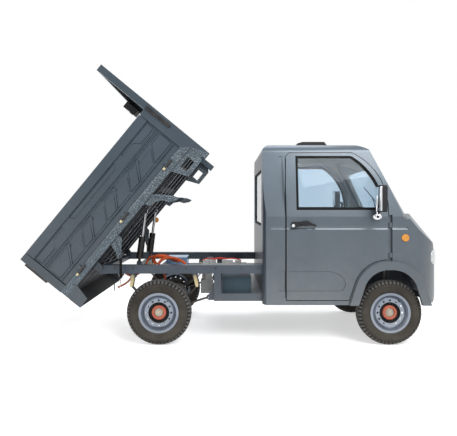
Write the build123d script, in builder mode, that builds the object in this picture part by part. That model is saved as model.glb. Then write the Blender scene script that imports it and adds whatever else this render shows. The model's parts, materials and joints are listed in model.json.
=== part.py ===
"""A small electric tipper truck, full size, in millimetres.

X runs forward, Y to the left and Z up from the ground. The load bed is modelled level, as it
lies on the chassis, and then raised about its hinge to the tipped pose that the truck is
stored in. side is -1 on the right and +1 on the left.
"""

from build123d import *
import os
from math import atan2, cos, hypot, radians, sin, tan

# Whole truck
wheelbase = 1940
rear_axle_x = -635
wheel_y = 530
tyre_radius = 272.5
tip_angle = 50.6
seat_gap = 0.3
shut_gap = 6
overrun = 40
front_axle_x = rear_axle_x + wheelbase
axle_z = tyre_radius
sides = (("right", -1), ("left", 1))

# Wheels
tyre_width = 124
bead_radius = 152
flange_radius = 168
rim_width = 104
rim_wall = 4
hub_radius = 44
hub_bore = 14
drum_radius = 110
drum_width = 46
slot_count = 12
slot_radius = 9
slot_sides = 8

# Chassis
rail_top_z = 665
rail_height = 72
rail_outer_y = 521
rail_width = 55
rail_wall = 4
rail_front_x = 520
cradle_top_z = 424
cradle_height = 64
cradle_rear_x = -182
cradle_front_x = 900
drop_rear_x = -173
drop_length = 59
cross_width = 60
nose_rail_outer_y = 300
nose_rail_width = 55
nose_rail_front_x = 1600
gusset_reach = 96
rail_inner_y = rail_outer_y - rail_width
rail_bottom_z = rail_top_z - rail_height
cradle_bottom_z = cradle_top_z - cradle_height
drop_front_x = drop_rear_x + drop_length

# Tipping hinge
hinge_x = -1143
hinge_z = 646
hinge_pin_radius = 11
hinge_running_gap = 0.08
ear_radius = 26
ear_thickness = 14
ear_gap = 6

# Load bed, lying level
bed_front_x = 191
bed_length = 1671
bed_half_width = 618
bed_rail_bottom_z = 685
bed_rail_height = 69
bed_rail_width = 46
bed_wall = 4
post_width = 60
rear_post_width = 68
front_post_width = 57
gate_top_z = 1183
gate_thickness = 34
gate_hinge_drop = 17
post_gap = 5
post_lip = 18
headboard_top_z = 1690
headboard_foot_z = 535
skirt_foot_z = 548
skirt_top_length = 128
skirt_foot_length = 95
sheet = 3
sub_rail_bottom_z = 672
bed_rear_x = bed_front_x - bed_length
bed_rail_top_z = bed_rail_bottom_z + bed_rail_height
bed_rail_inner_y = bed_half_width - bed_rail_width
headboard_rear_x = bed_front_x - post_width
gate_front_x = headboard_rear_x - front_post_width
rear_post_front_x = bed_rear_x + rear_post_width
floor_top_z = bed_rail_top_z
gate_hinge_z = bed_rail_top_z - gate_hinge_drop
gate_hinge_radius = 7
gate_hinge_out = 7
gate_hinge_length = 90
gate_inner_y = bed_half_width - gate_thickness

# Lift cylinders
cylinder_y = 260
lower_pin_x = -865
lower_pin_z = 654
upper_pin_x = -563
upper_pin_z = 687
barrel_radius = 30
barrel_length = 235
rod_radius = 13
rod_eye_radius = 20
rod_eye_width = 24
cylinder_pin_radius = 10

# Cab
cab_rear_x = 236
cab_half_width = 605
sill_z = 345
cab_wall = 36
waist_z = 1105
roof_z = 1722
nose_x = 1785
door_rear_x = 427
door_bottom_z = 380
door_top_z = 1624
flare_width = 70
flare_stand = 24
pane_thickness = 5


def block(low, high, mode=Mode.ADD):
    """Adds a block between two corners to the open part."""
    middle = tuple((a + b) / 2 for a, b in zip(low, high))
    with Locations(middle):
        Box(*[b - a for a, b in zip(low, high)], mode=mode)


def side_plate(points, y_low, y_high, mode=Mode.ADD):
    """Adds a plate drawn in X and Z, from y_low to y_high, to the open part."""
    with BuildSketch(Plane.XZ.offset(-y_high)) as outline:
        with BuildLine():
            Polyline(*points, close=True)
        make_face()
    extrude(outline.sketch, amount=y_high - y_low, mode=mode)


def side_disc(x, z, radius, y_low, y_high, mode=Mode.ADD):
    """Adds a disc or, with Mode.SUBTRACT, a hole along Y to the open part."""
    with BuildSketch(Plane.XZ.offset(-y_high)) as outline:
        with Locations((x, z)):
            Circle(radius)
    extrude(outline.sketch, amount=y_high - y_low, mode=mode)


def rod(start, end, radius, mode=Mode.ADD):
    """Adds a round bar from start to end to the open part."""
    axis = Vector(*end) - Vector(*start)
    with BuildSketch(Plane(origin=start, z_dir=axis)) as circle:
        Circle(radius)
    extrude(circle.sketch, amount=axis.length, mode=mode)


def bar(start, end, across, width, height):
    """Adds a flat bar from start to end to the open part; across is the way its width runs."""
    axis = Vector(*end) - Vector(*start)
    with BuildSketch(Plane(origin=start, x_dir=across, z_dir=axis)) as section:
        Rectangle(width, height)
    extrude(section.sketch, amount=axis.length)


def mirrored(y_low, y_high, side):
    """The low and high Y of a piece that lies from y_low to y_high out on that side."""
    return sorted((side * y_low, side * y_high))


def save(part, name, place=None):
    """Writes a finished piece to parts/, moved to its place if it has one."""
    shape = part.part if place is None else part.part.moved(place)
    shape.label = name
    export_step(shape, f"parts/{name}.step")


os.makedirs("parts", exist_ok=True)

tipped = (
    Location((hinge_x, 0, hinge_z))
    * Location((0, 0, 0), (0, -tip_angle, 0))
    * Location((-hinge_x, 0, -hinge_z))
)

# Chassis frame: upper rails and their cross members, then the cradle and nose rails below
tray_z = 625
tray_sheet = 4
tank_x = -243
hanger_length = 44
hanger_foot_z = 545
hanger_flange = 12
spring_y = 415
spring_width = 50
shackles = (
    # top x, top z, bottom x, bottom z
    (-880, 561, -895, 476),
    (-341, 558, -324, 480),
)
shackle_pin_radius = 8
shackle_half_width = 14
shackle_sheet = 6
controller_low = (-639, -100, 600)
controller_high = (-444, 100, 680)
pin_beam_top_z = lower_pin_z - rod_eye_radius - ear_gap
rail_members = (
    # x, z_low, z_high
    (lower_pin_x, rail_bottom_z + rail_wall, pin_beam_top_z),
    (controller_low[0] - cross_width / 2, rail_bottom_z, controller_low[2]),
    (tank_x, rail_bottom_z + rail_wall, tray_z),
    (cab_rear_x + cross_width * 2, rail_bottom_z + rail_wall, rail_top_z),
    (rail_front_x - cross_width / 2, rail_bottom_z + rail_wall, rail_top_z),
)
cradle_members = (
    # x, half length
    (drop_rear_x + cross_width / 2, rail_inner_y),
    (cradle_front_x - cross_width / 2, rail_inner_y),
    (nose_rail_front_x - cross_width / 2, nose_rail_outer_y),
)
rail_nose = rail_top_z - hinge_z
tow_bore_radius = 11
pin_reach = rod_eye_width / 2 + seat_gap + ear_thickness
with BuildPart() as chassis_frame:
    for name, side in sides:
        y_low, y_high = mirrored(rail_inner_y, rail_outer_y, side)
        side_plate(
            [
                (hinge_x, rail_top_z),
                (hinge_x - rail_nose, hinge_z),
                (hinge_x - rail_nose, rail_bottom_z + rail_nose),
                (hinge_x, rail_bottom_z),
                (rail_front_x, rail_bottom_z),
                (rail_front_x, rail_top_z),
            ],
            y_low,
            y_high,
        )
        side_disc(
            hinge_x,
            hinge_z,
            hinge_pin_radius,
            *mirrored(rail_outer_y, rail_outer_y + ear_gap * 2 + ear_thickness, side),
        )
        for top_x, top_z, bottom_x, bottom_z in shackles:
            low_x, high_x = top_x - hanger_length / 2, top_x + hanger_length / 2
            y_low, y_high = mirrored(
                spring_y - spring_width / 2, rail_outer_y - rail_width / 2, side
            )
            block((low_x, y_low, rail_bottom_z - hanger_flange), (high_x, y_high, rail_bottom_z))
            y_low, y_high = mirrored(
                spring_y - spring_width / 2, spring_y + spring_width / 2, side
            )
            block((low_x, y_low, hanger_foot_z), (high_x, y_high, rail_bottom_z))
            side_disc(
                top_x, top_z, shackle_pin_radius + seat_gap, y_low, y_high, Mode.SUBTRACT
            )
    for x, z_low, z_high in rail_members:
        block(
            (x - cross_width / 2, -rail_inner_y, z_low),
            (x + cross_width / 2, rail_inner_y, z_high),
        )
    block(
        (controller_low[0] - cross_width, controller_low[1], controller_low[2] - tray_sheet),
        (tank_x, controller_high[1], controller_low[2]),
    )
    block(
        (tank_x - cross_width, -rail_inner_y / 2, tray_z),
        (cab_rear_x - seat_gap, -rail_inner_y / 4, tray_z + tray_sheet),
    )
    for name, side in sides:
        for ear_side in (-1, 1):
            near = rod_eye_width / 2 + seat_gap
            y_low, y_high = mirrored(near, near + ear_thickness, ear_side)
            side_plate(
                [
                    (lower_pin_x - ear_radius, pin_beam_top_z - ear_gap),
                    (lower_pin_x + ear_radius, pin_beam_top_z - ear_gap),
                    (lower_pin_x + cylinder_pin_radius, lower_pin_z + cylinder_pin_radius),
                    (lower_pin_x - cylinder_pin_radius, lower_pin_z + cylinder_pin_radius),
                ],
                side * cylinder_y + y_low,
                side * cylinder_y + y_high,
            )
        side_disc(
            lower_pin_x,
            lower_pin_z,
            cylinder_pin_radius - hinge_running_gap,
            side * cylinder_y - pin_reach,
            side * cylinder_y + pin_reach,
        )
save(chassis_frame, "chassis_frame")

with BuildPart() as cradle_frame:
    for name, side in sides:
        y_low, y_high = mirrored(rail_inner_y, rail_outer_y, side)
        block((drop_rear_x, y_low, cradle_bottom_z), (cradle_front_x, y_high, cradle_top_z))
        block(
            (drop_rear_x, y_low, cradle_top_z),
            (drop_front_x, y_high, rail_bottom_z - seat_gap),
        )
        side_plate(
            [
                (drop_rear_x, cradle_top_z + gusset_reach),
                (drop_rear_x - gusset_reach / 2, cradle_top_z - cradle_height / 3),
                (drop_rear_x - gusset_reach / 2, cradle_bottom_z),
                (drop_rear_x, cradle_bottom_z),
            ],
            *mirrored(rail_inner_y, rail_inner_y + rail_width / 3, side),
        )
        y_low, y_high = mirrored(nose_rail_outer_y - nose_rail_width, nose_rail_outer_y, side)
        block(
            (cradle_front_x - cross_width, y_low, cradle_bottom_z),
            (nose_rail_front_x, y_high, cradle_top_z),
        )
    for x, reach in cradle_members:
        block(
            (x - cross_width / 2, -reach, cradle_bottom_z),
            (x + cross_width / 2, reach, cradle_top_z),
        )
    block(
        (drop_front_x, -rail_inner_y, cradle_top_z - tray_sheet),
        (cradle_front_x, rail_inner_y, cradle_top_z),
    )
save(cradle_frame, "cradle_frame")

with BuildPart() as rear_cross_member:
    block(
        (hinge_x - cross_width / 2, seat_gap - rail_inner_y, rail_bottom_z + rail_wall),
        (hinge_x + cross_width / 2, rail_inner_y - seat_gap, rail_top_z - ear_radius),
    )
    rod((hinge_x, 0, rail_bottom_z), (hinge_x, 0, rail_top_z), tow_bore_radius, Mode.SUBTRACT)
save(rear_cross_member, "rear_cross_member")

# Batteries in the cradle, electric boxes, hydraulic unit and cables
battery_rear_x = -104
battery_front_x = 146
battery_top_z = 557
battery_count = 3
battery_pitch = 2 * rail_inner_y / battery_count
with BuildPart() as battery_pack:
    for index in range(battery_count):
        y_low = -rail_inner_y + index * battery_pitch + shut_gap
        block(
            (battery_rear_x, y_low, cradle_top_z + seat_gap),
            (battery_front_x, y_low + battery_pitch - 2 * shut_gap, battery_top_z),
        )
save(battery_pack, "battery_pack")

with BuildPart() as controller_box:
    block(
        (controller_low[0], controller_low[1], controller_low[2] + seat_gap), controller_high
    )
save(controller_box, "controller_box")

relay_boxes = (
    # rear x, front x, top z
    (-286, -230, 667),
    (-221, -165, 667),
    (-110, -8, 665),
    (11, 66, 663),
)
relay_y = -200
relay_half_width = 34
with BuildPart() as relays:
    for rear_x, front_x, top_z in relay_boxes:
        block(
            (rear_x, relay_y - relay_half_width, tray_z + tray_sheet + seat_gap),
            (front_x, relay_y + relay_half_width, top_z),
        )
save(relays, "relay_boxes")

tank_y = -300
tank_size = (108, 100, 118)
tank_foot_z = 391
pump_radius = 45
with BuildPart() as hydraulic_unit:
    block(
        (tank_x - tank_size[0] / 2, tank_y - tank_size[1] / 2, tank_foot_z),
        (tank_x + tank_size[0] / 2, tank_y + tank_size[1] / 2, tank_foot_z + tank_size[2]),
    )
    rod(
        (tank_x, tank_y, tank_foot_z + tank_size[2]),
        (tank_x, tank_y, rail_bottom_z + rail_wall - seat_gap),
        pump_radius,
    )
save(hydraulic_unit, "hydraulic_unit")

cable_radius = 8
cable_sides = 8
pin_beam_front_x = lower_pin_x + cross_width / 2
plug_x = controller_low[0] - seat_gap
cable_points = (
    (pin_beam_front_x + cable_radius + seat_gap, -118, 600),
    (-818, -118, 655),
    (-790, -114, 690),
    (-745, -104, 694),
    (-705, -94, 674),
    (-672, -88, 664),
    (plug_x, -88, 664),
)
bend_share = 0.45


def bend_radii(points):
    """The largest arc that the two runs beside each inner point leave room for."""
    corners = [Vector(*point) for point in points]
    radii = []
    for before, here, after in zip(corners, corners[1:], corners[2:]):
        turn = radians((here - before).get_angle(after - here))
        shorter = min((here - before).length, (after - here).length)
        radii.append(bend_share * shorter / tan(turn / 2))
    return radii


with BuildPart() as power_cables:
    with BuildLine() as route:
        FilletPolyline(*cable_points, radius=bend_radii(cable_points))
    with BuildSketch(Plane(origin=cable_points[0], z_dir=route.line % 0)):
        RegularPolygon(cable_radius, cable_sides)
    sweep(path=route.line)
save(power_cables, "power_cables")

# Leaf springs, shackles, rear axle and torque rods
leaf_thickness = 8
leaf_spans = (286, 240, 180, 110)
axle_tube_radius = 34
spring_x = (shackles[0][2] + shackles[1][2]) / 2
spring_top_z = axle_z + axle_tube_radius + len(leaf_spans) * leaf_thickness
spring_eye_z = (shackles[0][3] + shackles[1][3]) / 2
spring_sag = spring_eye_z - spring_top_z
spring_radius = (leaf_spans[0] ** 2 + spring_sag**2) / (2 * spring_sag)
eye_wall = 7
with BuildPart() as leaf_springs:
    for name, side in sides:
        y_low, y_high = mirrored(spring_y - spring_width / 2, spring_y + spring_width / 2, side)
        for index, span in enumerate(leaf_spans):
            inner = spring_radius + index * leaf_thickness
            with BuildSketch(Plane.XZ.offset(-y_high)) as leaf:
                with Locations((spring_x, spring_top_z + spring_radius)):
                    Circle(inner + leaf_thickness)
                    Circle(inner, mode=Mode.SUBTRACT)
                with Locations((spring_x, spring_top_z + spring_sag / 2)):
                    Rectangle(
                        2 * span, spring_sag + 4 * leaf_thickness, mode=Mode.INTERSECT
                    )
            extrude(leaf.sketch, amount=y_high - y_low)
        for top_x, top_z, bottom_x, bottom_z in shackles:
            side_disc(bottom_x, bottom_z, shackle_pin_radius + eye_wall, y_low, y_high)
            side_disc(
                bottom_x, bottom_z, shackle_pin_radius + seat_gap, y_low, y_high, Mode.SUBTRACT
            )
save(leaf_springs, "leaf_springs")

with BuildPart() as spring_shackles:
    for name, side in sides:
        for top_x, top_z, bottom_x, bottom_z in shackles:
            for plate_side in (-1, 1):
                near = spring_width / 2 + seat_gap
                y_low, y_high = mirrored(near, near + shackle_sheet, plate_side)
                y_low, y_high = side * spring_y + y_low, side * spring_y + y_high
                half = shackle_half_width
                side_plate(
                    [
                        (top_x - half, top_z),
                        (top_x - half / 2, top_z + half),
                        (top_x + half / 2, top_z + half),
                        (top_x + half, top_z),
                        (bottom_x + half, bottom_z),
                        (bottom_x + half / 2, bottom_z - half),
                        (bottom_x - half / 2, bottom_z - half),
                        (bottom_x - half, bottom_z),
                    ],
                    y_low,
                    y_high,
                )
            reach = spring_width / 2 + shackle_sheet / 2
            for x, z in ((top_x, top_z), (bottom_x, bottom_z)):
                side_disc(
                    x,
                    z,
                    shackle_pin_radius,
                    side * spring_y - reach,
                    side * spring_y + reach,
                )
save(spring_shackles, "spring_shackles")

backing_y = 474
backing_thickness = 6
motor_radius = 92
motor_length = 250
motor_x = rear_axle_x + 60
gear_radius = 78
gear_length = 90
spindle_reach = wheel_y + hub_radius
torque_lug = 52
torque_lug_width = 16
spring_pad_half = 34
with BuildPart() as rear_axle:
    rod((rear_axle_x, -backing_y, axle_z), (rear_axle_x, backing_y, axle_z), axle_tube_radius)
    side_disc(rear_axle_x, axle_z, gear_radius, -gear_length / 2, gear_length / 2)
    side_disc(motor_x, axle_z, motor_radius, gear_length / 2, gear_length / 2 + motor_length)
    side_disc(motor_x, axle_z, gear_radius, -gear_length / 2, gear_length / 2)
    for name, side in sides:
        y_low, y_high = mirrored(backing_y, backing_y + backing_thickness, side)
        side_disc(rear_axle_x, axle_z, drum_radius, y_low, y_high)
        y_low, y_high = mirrored(backing_y, spindle_reach, side)
        side_disc(rear_axle_x, axle_z, hub_bore - hinge_running_gap, y_low, y_high)
        y_low, y_high = mirrored(spring_y + spring_width / 2, rail_inner_y, side)
        block(
            (rear_axle_x, y_low, axle_z - torque_lug_width / 2),
            (rear_axle_x + torque_lug, y_high, axle_z + torque_lug_width / 2),
        )
        y_low, y_high = mirrored(spring_y - spring_width / 2, spring_y + spring_width / 2, side)
        block(
            (rear_axle_x - spring_pad_half, y_low, axle_z),
            (rear_axle_x + spring_pad_half, y_high, axle_z + axle_tube_radius - seat_gap),
        )
save(rear_axle, "rear_axle")

torque_rod_radius = 9
torque_eye_radius = 20
torque_eye_inward = 11
torque_foot_x = rear_axle_x + torque_lug + torque_eye_radius + seat_gap
torque_eye_x = drop_rear_x - gusset_reach / 2
torque_eye_z = cradle_bottom_z + torque_eye_radius
torque_y = rail_inner_y - torque_rod_radius * 1.5
with BuildPart() as torque_rods:
    for name, side in sides:
        y = side * torque_y
        rod((torque_foot_x, y, axle_z), (torque_eye_x, y, torque_eye_z), torque_rod_radius)
        for x, z in ((torque_foot_x, axle_z), (torque_eye_x, torque_eye_z)):
            side_disc(
                x,
                z,
                torque_eye_radius,
                *mirrored(torque_y - torque_eye_inward, rail_inner_y - seat_gap, side),
            )
save(torque_rods, "torque_rods")

# Wheels, made at the origin with the axle along Y
well_radius = 138
bead_seat = 16
well_half_width = 20
hub_in = 30
hub_out = 26
drum_wall = 12
web = 5
dish_edge_y = 22
dish_face_y = 36
dish_outer_radius = 120
dish_inner_radius = 88
side_bulge_radius = 226
crown_half_width = 36
cavity_radius = 250
cavity_half_width = 38
cavity_bulge = 8
wheels = (
    # name, centre x, side
    ("front_right", front_axle_x, -1),
    ("front_left", front_axle_x, 1),
    ("rear_right", rear_axle_x, -1),
    ("rear_left", rear_axle_x, 1),
)
for name, x, side in wheels:
    centre = Location((x, side * wheel_y, axle_z))
    edge = rim_width / 2
    bead = edge - rim_wall
    with BuildPart() as rim:
        with BuildSketch(Plane.YZ):
            with BuildLine():
                Polyline(
                    (-edge, flange_radius),
                    (-bead, flange_radius),
                    (-bead, bead_radius),
                    (bead_seat - bead, bead_radius),
                    (-well_half_width, well_radius),
                    (well_half_width, well_radius),
                    (bead - bead_seat, bead_radius),
                    (bead, bead_radius),
                    (bead, flange_radius),
                    (edge, flange_radius),
                    (edge, bead_radius - rim_wall),
                    (well_half_width, well_radius - rim_wall),
                    (-well_half_width, well_radius - rim_wall),
                    (-edge, bead_radius - rim_wall),
                    close=True,
                )
            make_face()
            with BuildLine():
                Polyline(
                    (side * web, hub_radius - rim_wall),
                    (side * web * 2, hub_radius - rim_wall),
                    (side * web * 2, dish_inner_radius),
                    (side * dish_face_y, dish_inner_radius),
                    (side * dish_face_y, dish_outer_radius),
                    (side * dish_edge_y, well_radius - rim_wall / 2),
                    (side * (dish_edge_y - web), well_radius - rim_wall / 2),
                    (side * (dish_face_y - web), dish_outer_radius - web),
                    (side * (dish_face_y - web), dish_inner_radius + web),
                    (side * web, dish_inner_radius + web),
                    close=True,
                )
            make_face()
            with BuildLine():
                Polyline(
                    (-side * hub_in, hub_bore),
                    (side * hub_out, hub_bore),
                    (side * hub_out, hub_radius),
                    (side * web, hub_radius),
                    (side * web, drum_radius),
                    (-side * drum_width, drum_radius),
                    (-side * drum_width, drum_radius - drum_wall),
                    (0, drum_radius - drum_wall),
                    (0, hub_radius),
                    (-side * hub_in, hub_radius),
                    close=True,
                )
            make_face()
        revolve(axis=Axis.Y)
        with BuildSketch(Plane.XZ.offset(-side * dish_face_y)) as slots:
            with PolarLocations((dish_outer_radius + dish_inner_radius) / 2, slot_count):
                RegularPolygon(slot_radius, slot_sides)
        extrude(slots.sketch, amount=web * 3, both=True, mode=Mode.SUBTRACT)
    save(rim, f"rim_{name}", centre)

    half = tyre_width / 2
    with BuildPart() as tyre:
        with BuildSketch(Plane.YZ):
            with BuildLine():
                Polyline(
                    (-crown_half_width, tyre_radius),
                    (crown_half_width, tyre_radius),
                    (half, side_bulge_radius),
                    (bead - seat_gap, flange_radius + seat_gap),
                    (bead - seat_gap, bead_radius + seat_gap),
                    (cavity_half_width, bead_radius + seat_gap),
                    (cavity_half_width + cavity_bulge, cavity_radius),
                    (-cavity_half_width - cavity_bulge, cavity_radius),
                    (-cavity_half_width, bead_radius + seat_gap),
                    (seat_gap - bead, bead_radius + seat_gap),
                    (seat_gap - bead, flange_radius + seat_gap),
                    (-half, side_bulge_radius),
                    close=True,
                )
            make_face()
        revolve(axis=Axis.Y)
    save(tyre, f"tyre_{name}", centre)

# Steering knuckles, track rod and front suspension
kingpin_y = 430
kingpin_radius = 12
upright_width = 44
upright_low_z = 192
upright_high_z = 352
kingpin_low_z = 168
kingpin_high_z = 378
arm_length = 110
arm_low_z = 236
arm_high_z = 256
arm_width = 24
arm_eye_radius = 15
knuckle_neck_radius = 26
for name, side in sides:
    with BuildPart() as knuckle:
        rod(
            (front_axle_x, side * kingpin_y, kingpin_low_z),
            (front_axle_x, side * kingpin_y, kingpin_high_z),
            kingpin_radius,
        )
        y_low, y_high = mirrored(
            kingpin_y - upright_width / 2, kingpin_y + upright_width / 2, side
        )
        block(
            (front_axle_x - upright_width / 2, y_low, upright_low_z),
            (front_axle_x + upright_width / 2, y_high, upright_high_z),
        )
        side_disc(
            front_axle_x, axle_z, knuckle_neck_radius, *mirrored(kingpin_y, backing_y, side)
        )
        side_disc(
            front_axle_x,
            axle_z,
            drum_radius,
            *mirrored(backing_y, backing_y + backing_thickness, side),
        )
        side_disc(
            front_axle_x,
            axle_z,
            hub_bore - hinge_running_gap,
            *mirrored(backing_y, spindle_reach, side),
        )
        y_low, y_high = mirrored(kingpin_y - arm_width / 2, kingpin_y + arm_width / 2, side)
        block(
            (front_axle_x - arm_length, y_low, arm_low_z), (front_axle_x, y_high, arm_high_z)
        )
        rod(
            (front_axle_x - arm_length, side * kingpin_y, arm_low_z),
            (front_axle_x - arm_length, side * kingpin_y, arm_high_z),
            arm_eye_radius,
        )
    save(knuckle, f"knuckle_{name}")

track_rod_radius = 9
track_eye_height = 22
rack_radius = 24
rack_half_length = 190
track_x = front_axle_x - arm_length
track_z = arm_high_z + seat_gap + track_eye_height / 2
with BuildPart() as track_rod:
    rod((track_x, -kingpin_y, track_z), (track_x, kingpin_y, track_z), track_rod_radius)
    for name, side in sides:
        rod(
            (track_x, side * kingpin_y, track_z - track_eye_height / 2),
            (track_x, side * kingpin_y, track_z + track_eye_height / 2),
            arm_eye_radius,
        )
save(track_rod, "track_rod")

strut_radius = 26
strut_top_z = 668
subframe_half_length = 45
subframe_low_z = 236
subframe_high_z = 290
arm_inner_y = 250
upright_sweep = hypot(upright_width, upright_width) / 2 + shut_gap
with BuildPart() as front_suspension:
    block(
        (front_axle_x - subframe_half_length, -nose_rail_outer_y, subframe_low_z),
        (front_axle_x + subframe_half_length, nose_rail_outer_y, subframe_high_z),
    )
    for name, side in sides:
        y_low, y_high = mirrored(nose_rail_outer_y - nose_rail_width, nose_rail_outer_y, side)
        block(
            (front_axle_x - subframe_half_length, y_low, subframe_high_z),
            (front_axle_x + subframe_half_length, y_high, cradle_bottom_z - seat_gap),
        )
        with BuildSketch(Plane.YZ.offset(front_axle_x - strut_radius)) as arm:
            with BuildLine():
                Polyline(
                    (side * arm_inner_y, subframe_low_z),
                    (side * (kingpin_y - upright_width / 2), kingpin_low_z),
                    (side * (kingpin_y + upright_width / 2), kingpin_low_z),
                    (side * (kingpin_y + upright_width / 2), upright_low_z - seat_gap),
                    (side * (kingpin_y - upright_sweep), upright_low_z - seat_gap),
                    (side * nose_rail_outer_y, subframe_high_z),
                    close=True,
                )
            make_face()
        extrude(arm.sketch, amount=2 * strut_radius)
        rod(
            (front_axle_x, side * kingpin_y, upright_high_z + seat_gap),
            (front_axle_x, side * kingpin_y, strut_top_z),
            strut_radius,
        )
        rod(
            (front_axle_x, side * kingpin_y, kingpin_low_z - overrun),
            (front_axle_x, side * kingpin_y, kingpin_high_z + shut_gap),
            kingpin_radius + hinge_running_gap,
            Mode.SUBTRACT,
        )
    rod((track_x, -rack_half_length, track_z), (track_x, rack_half_length, track_z), rack_radius)
    block(
        (track_x - rack_radius / 2, -rack_radius, track_z),
        (front_axle_x, rack_radius, track_z + rack_radius),
    )
    rod(
        (track_x, -rack_half_length - overrun, track_z),
        (track_x, rack_half_length + overrun, track_z),
        track_rod_radius + hinge_running_gap,
        Mode.SUBTRACT,
    )
save(front_suspension, "front_suspension")

# Lift cylinders, in the tipped pose
swing = radians(tip_angle) + atan2(upper_pin_z - hinge_z, upper_pin_x - hinge_x)
pin_distance = hypot(upper_pin_z - hinge_z, upper_pin_x - hinge_x)
raised_pin = Vector(
    hinge_x + pin_distance * cos(swing), 0, hinge_z + pin_distance * sin(swing)
)
lower_pin = Vector(lower_pin_x, 0, lower_pin_z)
lift = (raised_pin - lower_pin).normalized()
barrel_foot = 38
barrel_cap = 6
rod_tail = 212
for name, side in sides:
    out = Vector(0, side * cylinder_y, 0)
    y_low = side * cylinder_y - rod_eye_width / 2
    y_high = side * cylinder_y + rod_eye_width / 2
    base = lower_pin + out
    with BuildPart() as barrel:
        rod(base + lift * barrel_foot, base + lift * barrel_length, barrel_radius)
        rod(base, base + lift * barrel_foot, rod_eye_width / 2)
        side_disc(lower_pin_x, lower_pin_z, rod_eye_radius, y_low, y_high)
        side_disc(
            lower_pin_x, lower_pin_z, cylinder_pin_radius, y_low, y_high, Mode.SUBTRACT
        )
        rod(
            base + lift * (barrel_foot + barrel_cap),
            base + lift * (barrel_length + overrun),
            rod_radius + hinge_running_gap,
            Mode.SUBTRACT,
        )
    save(barrel, f"cylinder_barrel_{name}")
    with BuildPart() as ram:
        rod(base + lift * rod_tail, raised_pin + out - lift * cylinder_pin_radius, rod_radius)
        side_disc(raised_pin.X, raised_pin.Z, rod_eye_radius, y_low, y_high)
    save(ram, f"cylinder_rod_{name}")

# Load bed: floor with its ribs, cross members, hinge ears and cylinder ears
floor_rib_width = 36
floor_rib_low_z = 708
floor_ribs_y = (-380, -140, 0, 140, 380)
cross_pitch = 252
pin_cross_low_z = upper_pin_z + rod_eye_radius + ear_gap
bed_crosses = (
    # x, low z
    (bed_rear_x + cross_width * 2, bed_rail_bottom_z + shut_gap),
    (hinge_x, bed_rail_bottom_z + shut_gap),
    (upper_pin_x, pin_cross_low_z),
    (upper_pin_x + cross_pitch, bed_rail_bottom_z + shut_gap),
    (upper_pin_x + cross_pitch * 2, bed_rail_bottom_z + shut_gap),
)
sheet_low_z = floor_top_z - sheet
lift_ear_gap = 5
lift_ear_thickness = 8
with BuildPart() as bed_floor:
    block(
        (bed_rear_x + bed_wall, -bed_rail_inner_y, sheet_low_z),
        (headboard_rear_x, bed_rail_inner_y, floor_top_z),
    )
    for y in floor_ribs_y:
        block(
            (bed_rear_x + cross_width * 2, y - floor_rib_width / 2, floor_rib_low_z),
            (headboard_rear_x, y + floor_rib_width / 2, sheet_low_z),
        )
    for x, low_z in bed_crosses:
        block(
            (x - cross_width / 2, -bed_rail_inner_y, low_z),
            (x + cross_width / 2, bed_rail_inner_y, sheet_low_z),
        )
    for name, side in sides:
        y_low, y_high = mirrored(rail_inner_y, rail_outer_y, side)
        block((hinge_x, y_low, sub_rail_bottom_z), (headboard_rear_x, y_high, sheet_low_z))
        y_low, y_high = mirrored(
            rail_outer_y + ear_gap, rail_outer_y + ear_gap + ear_thickness, side
        )
        side_plate(
            [
                (hinge_x - ear_radius * 2, sheet_low_z),
                (hinge_x + ear_radius * 2, sheet_low_z),
                (hinge_x + ear_radius, hinge_z),
                (hinge_x - ear_radius, hinge_z),
            ],
            y_low,
            y_high,
        )
        side_disc(hinge_x, hinge_z, ear_radius, y_low, y_high)
        side_disc(
            hinge_x,
            hinge_z,
            hinge_pin_radius + hinge_running_gap,
            y_low,
            y_high,
            Mode.SUBTRACT,
        )
        for ear_side in (-1, 1):
            near = rod_eye_width / 2 + lift_ear_gap
            y_low, y_high = mirrored(near, near + lift_ear_thickness, ear_side)
            side_plate(
                [
                    (upper_pin_x - cross_width / 2, sheet_low_z),
                    (upper_pin_x + cross_width / 2, sheet_low_z),
                    (upper_pin_x + rod_eye_radius / 2, upper_pin_z - rod_eye_radius),
                    (upper_pin_x - rod_eye_radius / 2, upper_pin_z - rod_eye_radius),
                ],
                side * cylinder_y + y_low,
                side * cylinder_y + y_high,
            )
save(bed_floor, "bed_floor", tipped)

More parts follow.
